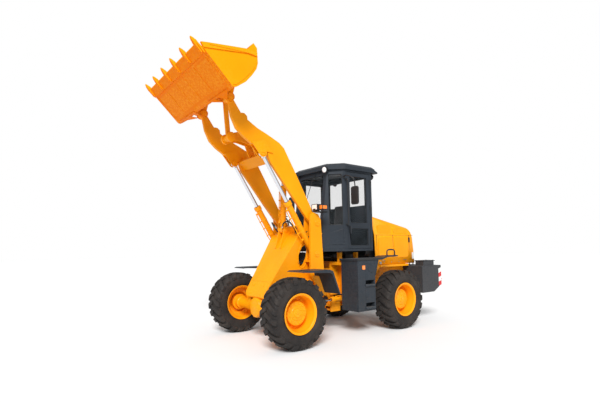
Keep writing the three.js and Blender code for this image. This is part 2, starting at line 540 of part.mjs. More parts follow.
function rearFrame() {
  const both = (make) => SIDES.map(([, s]) => onSide(make(), s));
  const head = union(
    box(-1560, -1530, -235, 235, 360, 1350),
    both(() => box(-1700, -1450, 220, 250, 360, 1350)),
    box(-1700, -1670, -RAIL.y1, RAIL.y1, 700, 1350),
  );
  const ears = HINGE_LEVELS.flatMap((z) => [z + 20 + CLEAR, z - 50 - CLEAR].map((low) => union(
    bar([HINGE.x, 0, low], [HINGE.x, 0, low + 30], 100, 14),
    deckPlate([[HINGE.x, -100], [HINGE.x, 100], [-1450, 232], [-1545, 232], [-1545, -232], [-1450, -232]],
      low, low + 30))));
  const pins = HINGE_LEVELS.map((z) => bar([HINGE.x, 0, z - 62], [HINGE.x, 0, z + 62], HINGE.r, 12));
  const rails = both(() => box(RAIL.back, RAIL.front, RAIL.y0, RAIL.y1, RAIL.z0, RAIL.z1));
  const ties = [-2480, RAIL.back + 30].map((x) => box(x - 30, x + 30, -RAIL.y0 - 5, RAIL.y0 + 5, 1010, 1110));
  const saddles = both(() =>
    box(-WHEELBASE - 90, -WHEELBASE + 90, 300, 390, AXLE_PAD_TOP + GAP, RAIL.z0 + 5));
  const outriggerPlaces = [[-1500, 245, 1290, 1350], [-1950, RAIL.y1 - 5, 1150, 1240]];
  const outriggers = outriggerPlaces.map(([x, inner, low, high]) => both(() => union(
    box(x - 40, x + 40, inner, TANK.y0 - GAP, low, high),
    box(x - 30, x + 30, 430, 510, high - 5, CAB_BOTTOM - GAP))));
  const ledges = both(() => box(-3560, -2620, RAIL.y1 - 5, 560, 1205, 1250));
  const kneePlate = [[-2640, 1245], [-2440, 960], [-2390, 960], [-2390, 1245]];
  const knees = both(() => union(sidePlate(kneePlate, 500, 530),
    box(-2440, -2390, RAIL.y1 - 5, 505, 1000, 1240)));
  const hangers = both(() => union(
    box(STEER.rearX - 90, STEER.rearX - 60, 310, 425, STEER.z - 65, RAIL.z0 + 5),
    [STEER.z - 65, STEER.z + 43].map((z) => union(
      bar([STEER.rearX, STEER.rearY, z], [STEER.rearX, STEER.rearY, z + 22], 48),
      box(STEER.rearX - 62, STEER.rearX, STEER.rearY - 48, STEER.rearY + 48, z, z + 22))),
    bar([STEER.rearX, STEER.rearY, STEER.z - 66], [STEER.rearX, STEER.rearY, STEER.z + 70], PIN.steer)));
  const tail = box(RAIL.back, RAIL.back + 28, -RAIL.y1, RAIL.y1, 800, RAIL.z1);
  const shaftWay = bar([-1800, 0, TYRE_RADIUS], [-1400, 0, TYRE_RADIUS], 85, 10);
  const steerWindows = both(() => box(-1705, -1440, 180, 260, STEER.z - 75, STEER.z + 75));
  return cut(union(head, ears, pins, rails, ties, saddles, outriggers, ledges, knees, hangers, tail),
    shaftWay, steerWindows);
}
add('rear_frame', rearFrame(), YELLOW);

const gearbox = union(box(-2350, -1760, -200, 200, 690, 1200), bar([-1800, 0, 640], [-1760, 0, 640], 120, 14),
  box(-1900, -1762, -120, 120, 520, 700), bar([-1765, 0, TYRE_RADIUS], [-1450, 0, TYRE_RADIUS], 45, 10));
add('transmission', gearbox, BLACK);
add('engine', box(-3480, -2560, -270, 270, 830, 1760), BLACK);

// ---- counterweight ------------------------------------------------------------------------
function counterweight() {
  const profile = [[-3590, 614], [-4022, 614], [-4308, 765], [-4308, 1200], [-3590, 1200]];
  const block = sidePlate(profile.reverse(), -900, 900);
  const lamps = SIDES.map(([, s]) => onSide(box(-4095, -3700, 640, 860, 1195, 1315), s));
  return union(block, lamps);
}
add('counterweight', counterweight(), WEIGHT_GREY);

// ---- hood ---------------------------------------------------------------------------------
function hoodSolid() {
  const side = [[-3850, 1256], [-3838, 1600], [-3811, 1890], [-3775, 1975], [-3710, 2035], [-3628, 2072],
    [-2490, 2310], [-2490, 1256]];
  const front = across([[400, 2420], [520, 1900], [540, 1256]]);
  const sideIn = [[-3820, 1200], [-3808, 1600], [-3783, 1884], [-3750, 1958], [-3694, 2008], [-3620, 2042],
    [-2450, 2287], [-2450, 1200]];
  const frontIn = across([[368, 2400], [490, 1892], [510, 1200]]);
  const shell = cut(sidePlate(side.reverse(), -560, 560).intersect(crossPlate(front, -3900, -2400)),
    sidePlate(sideIn.reverse(), -560, 560).intersect(crossPlate(frontIn, -3900, -2400)));
  const recess = box(-3900, -3832, -360, 360, 1420, 1800);
  return cut(shell, recess);
}
add('hood', hoodSolid(), YELLOW);

// ---- tanks and decks ----------------------------------------------------------------------
function sideTank() {
  const profile = [[TANK.x0, TANK.z0], [TANK.x0, TANK.z1 - GAP], [TANK.x1, TANK.z1 - GAP], [-1925, 1090],
    [-1920, TANK.z0]];
  const body = sidePlate(profile, TANK.y0, TANK.y1);
  const steps = [900, 480].map((z) => box(-1890, -1650, TANK.y1 - 130, TANK.y1 + 50, z, z + 110));
  const treads = [895, 475].map((z) => box(-1900, -1640, TANK.y1 - 140, TANK.y1 + 25, z, z + 30));
  return union(cut(body, steps), treads);
}

function deck() {
  const corners = [[-1425, 540], [-1425, 1010], [-2135, 1010], [-2135, 540]];
  const plate = deckPlate(corners, TANK.z1, TANK.z1 + 35);
  const ramp = sidePlate([[-2130, 1386], [-2130, 1420], [-2290, 1460], [-2620, 1466],
    [-2620, 1440], [-2290, 1432]], 760, 1010);
  const loop = bentTube([[-2310, 985, 1450], [-2310, 985, 1540], [-2345, 985, 1575], [-2510, 985, 1575],
    [-2545, 985, 1540], [-2545, 985, 1450]], 11);
  return union(plate, ramp, loop);
}

for (const [name, side] of SIDES) {
  add(`side_tank_${name}`, onSide(sideTank(), side), SLATE);
  add(`deck_${name}`, onSide(deck(), side), SLATE);
}

// ---- cab ----------------------------------------------------------------------------------
const CAB = { floor: 1600, top: 3160, side: 700, rear: -2230, post: -1450, wall: 45, roofTop: 3270 };
const DOOR = { x0: -2165, x1: -1540, z0: 1612, z1: 3120, hingeX: -2172 };

function cabPlan(inset, frontX, frontY) {
  const i = inset;
  const half = [[CAB.rear + i, CAB.side - i], [CAB.post - i * 0.3, CAB.side - i],
    [frontX - i, frontY - i * 0.45]];
  return mirrored(half).reverse();
}

function cabShell() {
  const low = [-1040, 430];
  const high = [-1225, 455];
  const outer = loft(cabPlan(0, ...low), CAB.floor, cabPlan(0, ...high), CAB.top);
  const inner = loft(cabPlan(CAB.wall, ...low), CAB.floor - 1, cabPlan(CAB.wall, ...high), CAB.top + 1);
  const bulge = crossPlate([[-640, 1600], [640, 1600], [640, 2400], [600, 2450], [-600, 2450], [-640, 2400]],
    CAB.rear - 68, CAB.rear + 5);
  const doorways = box(DOOR.x0 - CLEAR, DOOR.x1 + CLEAR, -900, 900, DOOR.z0 - CLEAR, DOOR.z1 + CLEAR);
  const windscreen = crossPlate(across([[370, 3070], [350, 2080]]), -1350, -900);
  const rearWindow = box(-2400, -2100, -540, 540, 2500, 3060);
  const quarter = Math.atan2(CAB.side - 440, CAB.post + 1130);
  const quarters = SIDES.map(([, s]) => {
    const pane = new THREE.BoxGeometry(265, 260, 1000);
    const place = new THREE.Matrix4().makeRotationZ(s * quarter);
    place.setPosition(-1312, s * 590, 2570);
    return moved(pane, place);
  });
  return cut(union(outer, bulge), inner, doorways, windscreen, rearWindow, quarters);
}
add('cab_shell', cabShell(), SLATE);

add('cab_floor', union(deckPlate(cabPlan(0, -1040, 430), CAB_BOTTOM, CAB.floor - GAP),
  box(-2060, -1660, -210, 210, CAB.floor - 5, 1900)), SLATE);

function cabRoof() {
  const edge = mirrored([[-2290, 745], [-1445, 745], [-1165, 490]]).reverse();
  const crown = mirrored([[-2250, 690], [-1465, 690], [-1230, 440]]).reverse();
  const visor = sidePlate([[-2285, 3190], [-2430, 3165], [-2435, 3190], [-2285, 3262]], -700, 700);
  return union(loft(edge, CAB.top + GAP, edge, 3235), loft(edge, 3234, crown, 3285), visor);
}
add('cab_roof', cabRoof(), SLATE);

function cabDoor() {
  const leaf = box(DOOR.x0, DOOR.x1, CAB.side - CAB.wall, CAB.side, DOOR.z0, DOOR.z1);
  const upper = box(-2075, -1600, 600, 800, 2120, 3040);
  const lower = box(-2105, -1600, 600, 800, 1670, 2005);
  const handle = union(box(-1592, -1565, 695, 735, 1960, 1985), box(-1592, -1565, 722, 740, 1900, 2050));
  return union(cut(leaf, upper, lower), handle);
}

function mirrorSolid() {
  const arm = bentTube([[-1440, 690, 3010], [-1400, 800, 3020], [-1410, 950, 2960], [-1440, 985, 2840],
    [-1440, 985, 2600]], 12);
  return union(arm, box(-1460, -1420, 890, 1080, 2440, 2790));
}

for (const [name, side] of SIDES) {
  add(`cab_door_${name}`, onSide(cabDoor(), side), SLATE);
  const insideCab = box(-1600, -1300, 0, CAB.side + GAP, 2000, 3200);
  add(`mirror_${name}`, onSide(cut(mirrorSolid(), insideCab), side), BLACK);
}

const seat = union(box(-2060, -1640, -230, 230, 1900 + GAP, 2020), sidePlate([[-2050, 1960], [-1960, 1960],
  [-2040, 2560], [-2120, 2560]].reverse(), -220, 220));
add('seat', seat, CLOTH);

const dashboard = union(
  box(-1340, -1150, -300, 300, CAB.floor, 2020),
  bar([-1300, 0, 1980], [-1390, 0, 2130], 30));
add('dashboard', dashboard, BLACK);

const WHEEL_CENTRE = new THREE.Vector3(-1397, 0, 2142);
const steeringWheel = new THREE.TorusGeometry(190, 15, 5, 16);
const wheelTurn = new THREE.Matrix4().makeRotationY(-Math.atan2(90, 150));
const rimRing = moved(steeringWheel, wheelTurn.clone().setPosition(WHEEL_CENTRE));
const spokes = moved(new THREE.BoxGeometry(36, 380, 12), wheelTurn.clone().setPosition(WHEEL_CENTRE));
const boss = moved(new THREE.BoxGeometry(80, 80, 18), wheelTurn.clone().setPosition(WHEEL_CENTRE));
add('steering_wheel', union(rimRing, spokes, boss), BLACK);

export default loader;
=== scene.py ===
"""Looks of an articulated wheel loader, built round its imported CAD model. Metres, +X forward, +Z up.

Shapes are drawn in the axle frame, whose origin is on the ground under the front axle's centre,
and are moved by FRONT_X into the row frame when a piece is made.
"""

import json
import math

import bmesh
import bpy
from mathutils import Matrix, Vector


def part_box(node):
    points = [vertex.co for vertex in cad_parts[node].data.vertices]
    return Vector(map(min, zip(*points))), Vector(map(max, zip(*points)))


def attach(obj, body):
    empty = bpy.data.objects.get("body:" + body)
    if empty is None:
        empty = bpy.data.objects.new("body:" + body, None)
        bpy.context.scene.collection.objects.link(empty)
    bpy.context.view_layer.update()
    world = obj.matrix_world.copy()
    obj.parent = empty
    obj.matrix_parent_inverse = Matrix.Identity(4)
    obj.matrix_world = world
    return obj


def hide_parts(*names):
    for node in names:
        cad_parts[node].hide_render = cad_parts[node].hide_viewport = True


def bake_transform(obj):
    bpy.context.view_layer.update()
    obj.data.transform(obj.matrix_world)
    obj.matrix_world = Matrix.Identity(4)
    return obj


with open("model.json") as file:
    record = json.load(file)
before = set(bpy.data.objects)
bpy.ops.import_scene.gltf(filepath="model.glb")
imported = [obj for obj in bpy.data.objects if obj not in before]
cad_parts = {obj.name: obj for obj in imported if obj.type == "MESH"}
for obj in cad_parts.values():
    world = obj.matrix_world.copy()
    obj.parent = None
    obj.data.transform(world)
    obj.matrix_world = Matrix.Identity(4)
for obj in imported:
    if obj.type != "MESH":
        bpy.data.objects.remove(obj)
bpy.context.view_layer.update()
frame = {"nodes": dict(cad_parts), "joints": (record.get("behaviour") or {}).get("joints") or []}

# ---- driving dimensions -----------------------------------------------------------------------
wheel_low, wheel_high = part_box("tyre_front_left")
FRONT_X = (wheel_low[0] + wheel_high[0]) / 2
REAR_X = (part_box("tyre_rear_left")[0][0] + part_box("tyre_rear_left")[1][0]) / 2 - FRONT_X
HALF_TRACK = (wheel_low[1] + wheel_high[1]) / 2
TYRE_R = wheel_high[2] / 2
SIDES = (("left", 1), ("right", -1))
JOINTS = {joint["name"]: joint for joint in frame["joints"]}


def pin_of(joint):
    """A joint's place in the axle frame, as (x, z)."""
    x, _, z = JOINTS[joint]["pos_m"]
    return x - FRONT_X, z


BOOM_PIN = pin_of("boom_lift")
LIFT_PIN = pin_of("lift_barrel_turn_left")
TILT_PIN = pin_of("tilt_pin_turn")
CRANK_PIN = pin_of("bellcrank_turn")
LINK_PIN = pin_of("link_turn")
BUCKET_PIN = pin_of("bucket_tilt")
LIFT_EYE = (0.330, 3.285)
TILT_EYE = (-0.500, 3.300)
LINK_TOP = (0.780, 4.330)
ARM_Y = 0.5


# ---- camera -----------------------------------------------------------------------------------
def make_camera():
    """The photograph's view, from the front left at about eye height."""
    yaw, pitch, roll = math.radians(-126.82), math.radians(4.52), math.radians(-0.74)
    forward = Vector((math.cos(yaw) * math.cos(pitch), math.sin(yaw) * math.cos(pitch), math.sin(pitch)))
    right = Vector((math.sin(yaw), -math.cos(yaw), 0))
    up = right.cross(forward)
    rolled_right = math.cos(roll) * right + math.sin(roll) * up
    rolled_up = -math.sin(roll) * right + math.cos(roll) * up
    data = bpy.data.cameras.new("camera")
    data.sensor_width = 36
    data.lens = 23.72
    data.shift_x, data.shift_y = 0.0193, 0.0233
    data.clip_end = 200
    camera = bpy.data.objects.new("camera", data)
    turn = Matrix((rolled_right, rolled_up, -forward)).transposed().to_4x4()
    camera.matrix_world = Matrix.Translation((4.007 + FRONT_X, 6.157, 1.662)) @ turn
    bpy.context.collection.objects.link(camera)
    bpy.context.scene.camera = camera


make_camera()


# ---- materials --------------------------------------------------------------------------------
def srgb(red, green, blue):
    """Linear colour from the 0 to 255 numbers a screen shows."""
    def linear(value):
        value /= 255
        return value / 12.92 if value <= 0.04045 else ((value + 0.055) / 1.055) ** 2.4
    return linear(red), linear(green), linear(blue), 1.0


class Nodes:
    """A material's node tree, with short calls for the nodes used here."""

    def __init__(self, name, slot):
        self.material = bpy.data.materials.new(name)
        self.material.use_nodes = True
        self.material["slot"] = slot
        self.tree = self.material.node_tree
        self.shader = self.tree.nodes["Principled BSDF"]
        self.coordinates = self.tree.nodes.new("ShaderNodeTexCoord")

    def set(self, **values):
        for name, value in values.items():
            self.shader.inputs[name.replace("_", " ")].default_value = value
        return self

    def node(self, kind, values=(), **settings):
        made = self.tree.nodes.new("ShaderNode" + kind)
        for name, value in settings.items():
            setattr(made, name, value)
        for name, value in dict(values).items():
            if isinstance(value, bpy.types.NodeSocket):
                self.tree.links.new(value, made.inputs[name])
            else:
                made.inputs[name].default_value = value
        return made

    def noise(self, scale, detail=3.0, rough=0.55, vector=None):
        made = self.node("TexNoise", {"Vector": vector or self.coordinates.outputs["Object"], "Scale": scale,
                                      "Detail": detail, "Roughness": rough})
        return made.outputs["Fac"]

    def spread(self, value, low, high, to_low=0.0, to_high=1.0):
        made = self.node("MapRange", {"Value": value, "From Min": low, "From Max": high,
                                      "To Min": to_low, "To Max": to_high})
        return made.outputs["Result"]

    def mix(self, factor, first, second, blend="MIX"):
        made = self.node("Mix", data_type="RGBA", blend_type=blend)
        for place, value in ((0, factor), (6, first), (7, second)):
            if isinstance(value, bpy.types.NodeSocket):
                self.tree.links.new(value, made.inputs[place])
            else:
                made.inputs[place].default_value = value
        return made.outputs[2]

    def maths(self, operation, first, second):
        made = self.node("Math", operation=operation)
        for place, value in enumerate((first, second)):
            if isinstance(value, bpy.types.NodeSocket):
                self.tree.links.new(value, made.inputs[place])
            else:
                made.inputs[place].default_value = value
        return made.outputs[0]

    def link(self, value, socket):
        self.tree.links.new(value, self.shader.inputs[socket])
        return self

    def bump(self, *layers):
        """Each layer is (height, strength, distance)."""
        last = None
        for height, strength, distance in layers:
            values = {"Height": height, "Strength": strength, "Distance": distance}
            if last:
                values["Normal"] = last
            last = self.node("Bump", values).outputs["Normal"]
        return self.link(last, "Normal")


DUST = srgb(158, 140, 116)


def paint(name, slot, color, rough=0.34, dust=0.25, vary=0.10, coat=0.25, painted_shade_below=None, shine=0.14):
    """Sprayed enamel: clouding, orange peel, dust on tops and near the ground, rubbed edges, and, when given,
    a painted shade on faces that turn downwards.
    """
    made = Nodes(name, slot).set(Coat_Weight=coat, Coat_Roughness=0.12, Specular_IOR_Level=shine)
    deeper = tuple(channel * (1 - vary) ** 2 for channel in color[:3]) + (1.0,)
    cloud = made.spread(made.noise(1.7, 4.0), 0.35, 0.7)
    shade = made.mix(cloud, color, deeper)
    streak_at = made.node("Mapping", {"Vector": made.coordinates.outputs["Object"], "Scale": (9.0, 9.0, 0.8)})
    streak = made.spread(made.noise(2.2, 6.0, vector=streak_at.outputs[0]), 0.52, 0.80, 0.0, 0.10 * dust * 4)
    shade = made.mix(streak, shade, DUST)
    top = made.node("SeparateXYZ", {"Vector": made.coordinates.outputs["Normal"]}).outputs["Z"]
    # painted shade: faces that turn downwards are mixed towards a deeper colour, standing in for the shade
    # beneath them
    if painted_shade_below:
        shade = made.mix(made.spread(top, -0.15, -0.5), shade, painted_shade_below)
    low = made.node("SeparateXYZ", {"Vector": made.coordinates.outputs["Object"]}).outputs["Z"]
    speck = made.spread(made.noise(14.0, 8.0, 0.7), 0.40, 0.72)
    settled = made.maths("MULTIPLY", made.spread(top, 0.6, 1.0, 0.0, dust * 0.55), speck)
    splash = made.maths("MULTIPLY", made.spread(low, 1.3, 0.3, 0.0, dust * 0.7), speck)
    shade = made.mix(made.maths("ADD", settled, splash), shade, DUST)
    edge = made.node("NewGeometry").outputs["Pointiness"]
    rubbed = made.maths("MULTIPLY", made.spread(edge, 0.52, 0.60, 0.0, 0.35),
                        made.spread(made.noise(30.0), 0.45, 0.6))
    lighter = tuple(min(1.0, channel * 1.25 + 0.03) for channel in color[:3]) + (1.0,)
    made.link(made.mix(rubbed, shade, lighter), "Base Color")
    made.link(made.spread(made.noise(23.0, 5.0), 0.3, 0.7, rough - 0.07, rough + 0.12), "Roughness")
    return made.bump((made.noise(420.0, 2.0), 0.05, 0.0006), (made.noise(2.6, 2.0), 0.10, 0.006)).material


def plain(name, slot, color, rough, metal=0.0, grain=160.0, depth=0.15, vary=0.25, **extra):
    """Moulded or cast stuff: two tones of one colour, uneven gloss and a grain."""
    made = Nodes(name, slot).set(Metallic=metal, **extra)
    other = tuple(channel * (1 - vary) for channel in color[:3]) + (1.0,)
    made.link(made.mix(made.spread(made.noise(6.0, 5.0), 0.35, 0.65), color, other), "Base Color")
    made.link(made.spread(made.noise(31.0, 4.0), 0.3, 0.7, rough - 0.06, rough + 0.08), "Roughness")
    return made.bump((made.noise(grain, 3.0), depth, 0.0008)).material


def tyre_rubber():
    made = Nodes("tyre_rubber", "tyre_rubber").set(Specular_IOR_Level=0.35)
    black, brown, clay = srgb(34, 31, 30), srgb(54, 48, 44), srgb(84, 73, 63)
    shade = made.mix(made.spread(made.noise(5.0, 6.0), 0.35, 0.68), black, brown)
    caked = made.spread(made.noise(38.0, 8.0, 0.7), 0.56, 0.72, 0.0, 0.45)
    made.link(made.mix(caked, shade, clay), "Base Color")
    made.link(made.spread(made.noise(40.0, 5.0), 0.3, 0.7, 0.68, 0.92), "Roughness")
    return made.bump((made.noise(95.0, 6.0, 0.6), 0.35, 0.002),
                     (made.noise(700.0, 2.0), 0.2, 0.0005)).material


def chrome():
    made = Nodes("chrome", "chrome_steel").set(Metallic=1.0, Base_Color=srgb(224, 227, 232))
    along = made.node("Mapping", {"Vector": made.coordinates.outputs["Object"], "Scale": (40.0, 40.0, 3.0)})
    made.link(made.spread(made.noise(12.0, 4.0, vector=along.outputs[0]), 0.3, 0.7, 0.06, 0.17), "Roughness")
    return made.bump((made.noise(600.0, 2.0), 0.03, 0.0003)).material


def see_through(name, slot, color, alpha, rough=0.03):
    made = Nodes(name, slot).set(Base_Color=color, Alpha=alpha, Coat_Weight=0.4, Coat_Roughness=0.02)
    made.link(made.spread(made.noise(9.0, 5.0), 0.35, 0.75, rough, rough + 0.05), "Roughness")
    return made.bump((made.noise(3.0, 2.0), 0.02, 0.003)).material


def lens(name, color, slot, glow=0.0):
    """Moulded lamp glass with square flutes."""
    made = Nodes(name, slot).set(Coat_Weight=1.0, Coat_Roughness=0.03, Roughness=0.12)
    at = made.node("SeparateXYZ", {"Vector": made.coordinates.outputs["Object"]}).outputs
    flutes = [made.maths("PINGPONG", at[axis], 0.009) for axis in ("X", "Y", "Z")]
    height = made.maths("ADD", made.maths("ADD", flutes[0], flutes[1]), flutes[2])
    pale = tuple(min(1.0, channel * 1.3 + 0.02) for channel in color[:3]) + (1.0,)
    made.link(made.mix(made.spread(height, 0.0, 0.027), color, pale), "Base Color")
    if glow:
        made.set(Emission_Color=color, Emission_Strength=glow)
    return made.bump((height, 0.5, 0.02)).material


def tread_plate(name, slot, color):
    """Sheet with raised lozenges, for decks and steps."""
    made = Nodes(name, slot).set(Metallic=0.2)
    at = made.node("SeparateXYZ", {"Vector": made.coordinates.outputs["Object"]}).outputs
    first = made.maths("PINGPONG", made.maths("ADD", at["X"], at["Y"]), 0.018)
    second = made.maths("PINGPONG", made.maths("SUBTRACT", at["X"], at["Y"]), 0.018)
    bars = made.maths("MAXIMUM", made.spread(first, 0.012, 0.016), made.spread(second, 0.012, 0.016))
    dusty = made.spread(made.noise(9.0, 6.0), 0.4, 0.75, 0.0, 0.3)
    made.link(made.mix(dusty, color, DUST), "Base Color")
    made.link(made.spread(made.noise(20.0), 0.3, 0.7, 0.38, 0.6), "Roughness")
    return made.bump((bars, 0.7, 0.003), (made.noise(200.0), 0.1, 0.0005)).material


def weave(name, slot, color, other):
    """Woven cloth from two crossed waves."""
    made = Nodes(name, slot).set(Sheen_Weight=0.35, Sheen_Roughness=0.5)
    at = made.node("SeparateXYZ", {"Vector": made.coordinates.outputs["Object"]}).outputs
    warp = made.maths("PINGPONG", made.maths("ADD", at["X"], at["Z"]), 0.0018)
    weft = made.maths("PINGPONG", at["Y"], 0.0018)
    height = made.maths("ADD", warp, weft)
    made.link(made.mix(made.spread(height, 0.0005, 0.003), color, other), "Base Color")
    made.link(made.spread(made.noise(50.0), 0.3, 0.7, 0.75, 0.95), "Roughness")
    return made.bump((height, 0.6, 0.001), (made.noise(12.0), 0.2, 0.004)).material


ENAMEL = (0.97, 0.345, 0.0020, 1)
YELLOW = paint("paint_yellow", "loader_yellow", ENAMEL, dust=0.05, vary=0.07, coat=0.03)
# the bucket's downward faces get a deeper orange as painted shade
BUCKET = paint("paint_bucket", "loader_yellow", ENAMEL, rough=0.5, dust=0.03, vary=0.05, coat=0.0,
               painted_shade_below=(0.86, 0.200, 0.001, 1), shine=0.05)
SLATE = paint("paint_slate", "cab_grey", srgb(47, 53, 60), rough=0.42, dust=0.07, coat=0.06)
WEIGHT = paint("paint_weight", "weight_grey", srgb(60, 61, 64), rough=0.48, dust=0.10, coat=0.03)
BLACK = plain("black_plastic", "black_parts", srgb(32, 33, 35), 0.5)
HOSE = plain("hose_rubber", "hose_rubber", srgb(24, 24, 25), 0.55, grain=420.0, depth=0.4)
IRON = plain("cast_iron", "drive_iron", srgb(52, 53, 56), 0.6, 0.5, grain=90.0, depth=0.45)
ZINC = plain("zinc_bolts", "chrome_steel", srgb(176, 172, 160), 0.32, 1.0, grain=300.0)
TYRE = tyre_rubber()
CHROME = chrome()


# ---- shapes -----------------------------------------------------------------------------------
def smooth_path(points, steps=8):
    """Catmull-Rom curve through the points."""
    ends = [2 * Vector(points[0]) - Vector(points[1]), *map(Vector, points),
            2 * Vector(points[-1]) - Vector(points[-2])]
    path = []
    for a, b, c, d in zip(ends, ends[1:], ends[2:], ends[3:]):
        for step in range(steps):
            t = step / steps
            path.append(0.5 * (2 * b + (c - a) * t + (2 * a - 5 * b + 4 * c - d) * t * t
                               + (3 * b - a - 3 * c + d) * t ** 3))
    return path + [ends[-2]]


def arc(centre, radius, start, end, steps=12):
    """Points round a centre in one plane, angles in degrees."""
    angles = [math.radians(start + (end - start) * i / steps) for i in range(steps + 1)]
    return [(centre[0] + radius * math.cos(t), centre[1] + radius * math.sin(t)) for t in angles]


def rounded(low, high, radius, steps=4):
    """Outline of a rectangle with round corners."""
    (a, b), (c, d) = low, high
    r = radius
    return (arc((c - r, d - r), r, 0, 90, steps) + arc((a + r, d - r), r, 90, 180, steps)
            + arc((a + r, b + r), r, 180, 270, steps) + arc((c - r, b + r), r, 270, 360, steps))


def turns(count, shift=0.0):
    """Angles of a full circle, in radians."""
    return [2 * math.pi * (k + shift) / count for k in range(count)]


def facing(axis):
    """Rotation that brings +Z to an axis."""
    return Vector(axis).normalized().to_track_quat("Z", "Y").to_matrix()


def spread_sides(side, low, high):
    """A width on the left or right side, as (low, high)."""
    return sorted((side * low, side * high))


def mirrored(side, *points):
    """Points given for the left side, brought to the side asked for."""
    return [(x, side * y, z) for x, y, z in points]


class Shape:
    """Collects closed solids into one mesh."""

    def __init__(self):
        self.mesh = bmesh.new()

    def add(self, points, faces):
        made = [self.mesh.verts.new(point) for point in points]
        for face in faces:
            self.mesh.faces.new([made[i] for i in face])
        return self

    def rings(self, rings, closed=False):
        """Skin over rings of points with the same count; the ends are capped unless the rings close."""
        count = len(rings[0])
        points = [point for ring in rings for point in ring]
        last = len(rings) if closed else len(rings) - 1
        faces = []
        for i in range(last):
            low, high = i * count, (i + 1) % len(rings) * count
            faces += [(low + k, low + (k + 1) % count, high + (k + 1) % count, high + k)
                      for k in range(count)]
        if not closed:
            faces += [tuple(range(count))[::-1], tuple(range((len(rings) - 1) * count, len(rings) * count))]
        return self.add(points, faces)

    def prism(self, outline, axis, low, high):
        """Outline in the other two axes, in order, pushed along axis from low to high."""
        place = {"x": lambda a, b, t: (t, a, b),
                 "y": lambda a, b, t: (a, t, b),
                 "z": lambda a, b, t: (a, b, t)}[axis]
        return self.rings([[place(a, b, t) for a, b in outline] for t in (low, high)])

    def box(self, x, y, z):
        return self.prism([(x[0], y[0]), (x[1], y[0]), (x[1], y[1]), (x[0], y[1])], "z", *z)

    def bar(self, a, b, radius, sides=32, end=None):
        return self.turned([(0, radius), ((Vector(b) - Vector(a)).length, end or radius)], a, b, sides)

    def turned(self, profile, a, b, sides=32):
        """Solid of (distance from a, radius) pairs, turned about the line from a to b."""
        a, b = Vector(a), Vector(b)
        axis = (b - a).normalized()
        turn = axis.to_track_quat("Z", "Y").to_matrix()
        rings = []
        for along, radius in profile:
            centre = a + axis * along
            rings.append([centre + turn @ Vector((radius * math.cos(t), radius * math.sin(t), 0))
                          for t in turns(sides)])
        return self.rings(rings)

    def tube(self, points, radius, sides=12, steps=8):
        path = smooth_path(points, steps) if steps > 1 else [Vector(point) for point in points]
        side = None
        rings = []
        for i, point in enumerate(path):
            ahead = (path[min(i + 1, len(path) - 1)] - path[max(i - 1, 0)]).normalized()
            if side is None:
                side = ahead.orthogonal().normalized()
            side = (side - ahead * side.dot(ahead)).normalized()
            other = ahead.cross(side)
            rings.append([point + radius * (math.cos(t) * side + math.sin(t) * other)
                          for t in turns(sides)])
        return self.rings(rings)

    def ring(self, centre, axis, radius, thick, sides=48, around=12):
        """Torus about an axis through centre."""
        turn = facing(axis)
        rings = []
        for t in turns(sides):
            out = Vector((math.cos(t), math.sin(t), 0))
            rings.append([Vector(centre) + turn @ (out * (radius + thick * math.cos(u))
                                                   + Vector((0, 0, thick * math.sin(u))))
                          for u in turns(around)])
        return self.rings(rings, closed=True)

    def collar(self, a, axis, inner, outer, width, sides=40):
        """Open band round an axis."""
        turn = facing(axis)
        rings = []
        for t in turns(sides):
            out = Vector((math.cos(t), math.sin(t), 0))
            rings.append([Vector(a) + turn @ (out * r + Vector((0, 0, h)))
                          for r, h in ((inner, 0), (outer, 0), (outer, width), (inner, width))])
        return self.rings(rings, closed=True)

    def lathe(self, profile, centre, side=1, sides=64):
        """Closed outline of (radius, outward) points turned about a Y axis through centre."""
        rings = []
        for t in turns(sides):
            rings.append([(centre[0] + r * math.cos(t), centre[1] + side * out, centre[2] + r * math.sin(t))
                          for r, out in profile])
        return self.rings(rings, closed=True)

    def bolt(self, at, axis, size=0.012, height=0.010, washer=True):
        """Hexagon head standing on a washer."""
        at, axis = Vector(at), Vector(axis).normalized()
        if washer:
            self.bar(at - axis * 0.002, at + axis * 0.0025, size * 1.35, 20)
        return self.turned([(0, size), (height * 0.8, size), (height, size * 0.82)], at, at + axis, 6)

    def bolt_circle(self, centre, axis, radius, count, size=0.012, height=0.010):
        turn = facing(axis)
        for t in turns(count, 0.5):
            self.bolt(Vector(centre) + turn @ Vector((radius * math.cos(t), radius * math.sin(t), 0)), axis,
                      size, height)
        return self

    def weld(self, points, radius=0.006):
        """Bead of overlapping ripples along straight runs."""
        for a, b in zip(points, points[1:]):
            a, b = Vector(a), Vector(b)
            length = (b - a).length
            count = max(2, int(length / 0.012))
            profile = [(length * k / count, radius * (1.0 if k % 2 else 0.78)) for k in range(count + 1)]
            self.turned(profile, a, b, 8)
        return self


def piece(name, shape, material, body, bevel=0.0, smooth=38, replaces=(), segments=2):
    """Makes an object of a shape, in the row frame, and lets it ride on a body; a pair of bodies leaves it in
    place.
    """
    bmesh.ops.recalc_face_normals(shape.mesh, faces=shape.mesh.faces)
    bmesh.ops.translate(shape.mesh, verts=shape.mesh.verts, vec=(FRONT_X, 0, 0))
    mesh = bpy.data.meshes.new(name)
    shape.mesh.to_mesh(mesh)
    shape.mesh.free()
    made = bpy.data.objects.new(name, mesh)
    bpy.context.collection.objects.link(made)
    mesh.materials.append(material)
    mesh.shade_smooth()
    mesh.set_sharp_from_angle(angle=math.radians(smooth))
    if bevel:
        round_edges(made, bevel, segments)
    if isinstance(body, tuple):
        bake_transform(made)
    else:
        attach(made, body)
    if replaces:
        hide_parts(*replaces)
    return made


def round_edges(made, width, segments=2, angle=35):
    bevel = made.modifiers.new("round_edges", "BEVEL")
    bevel.width = width
    bevel.segments = segments
    bevel.limit_method = "ANGLE"
    bevel.angle_limit = math.radians(angle)
    bevel.harden_normals = True


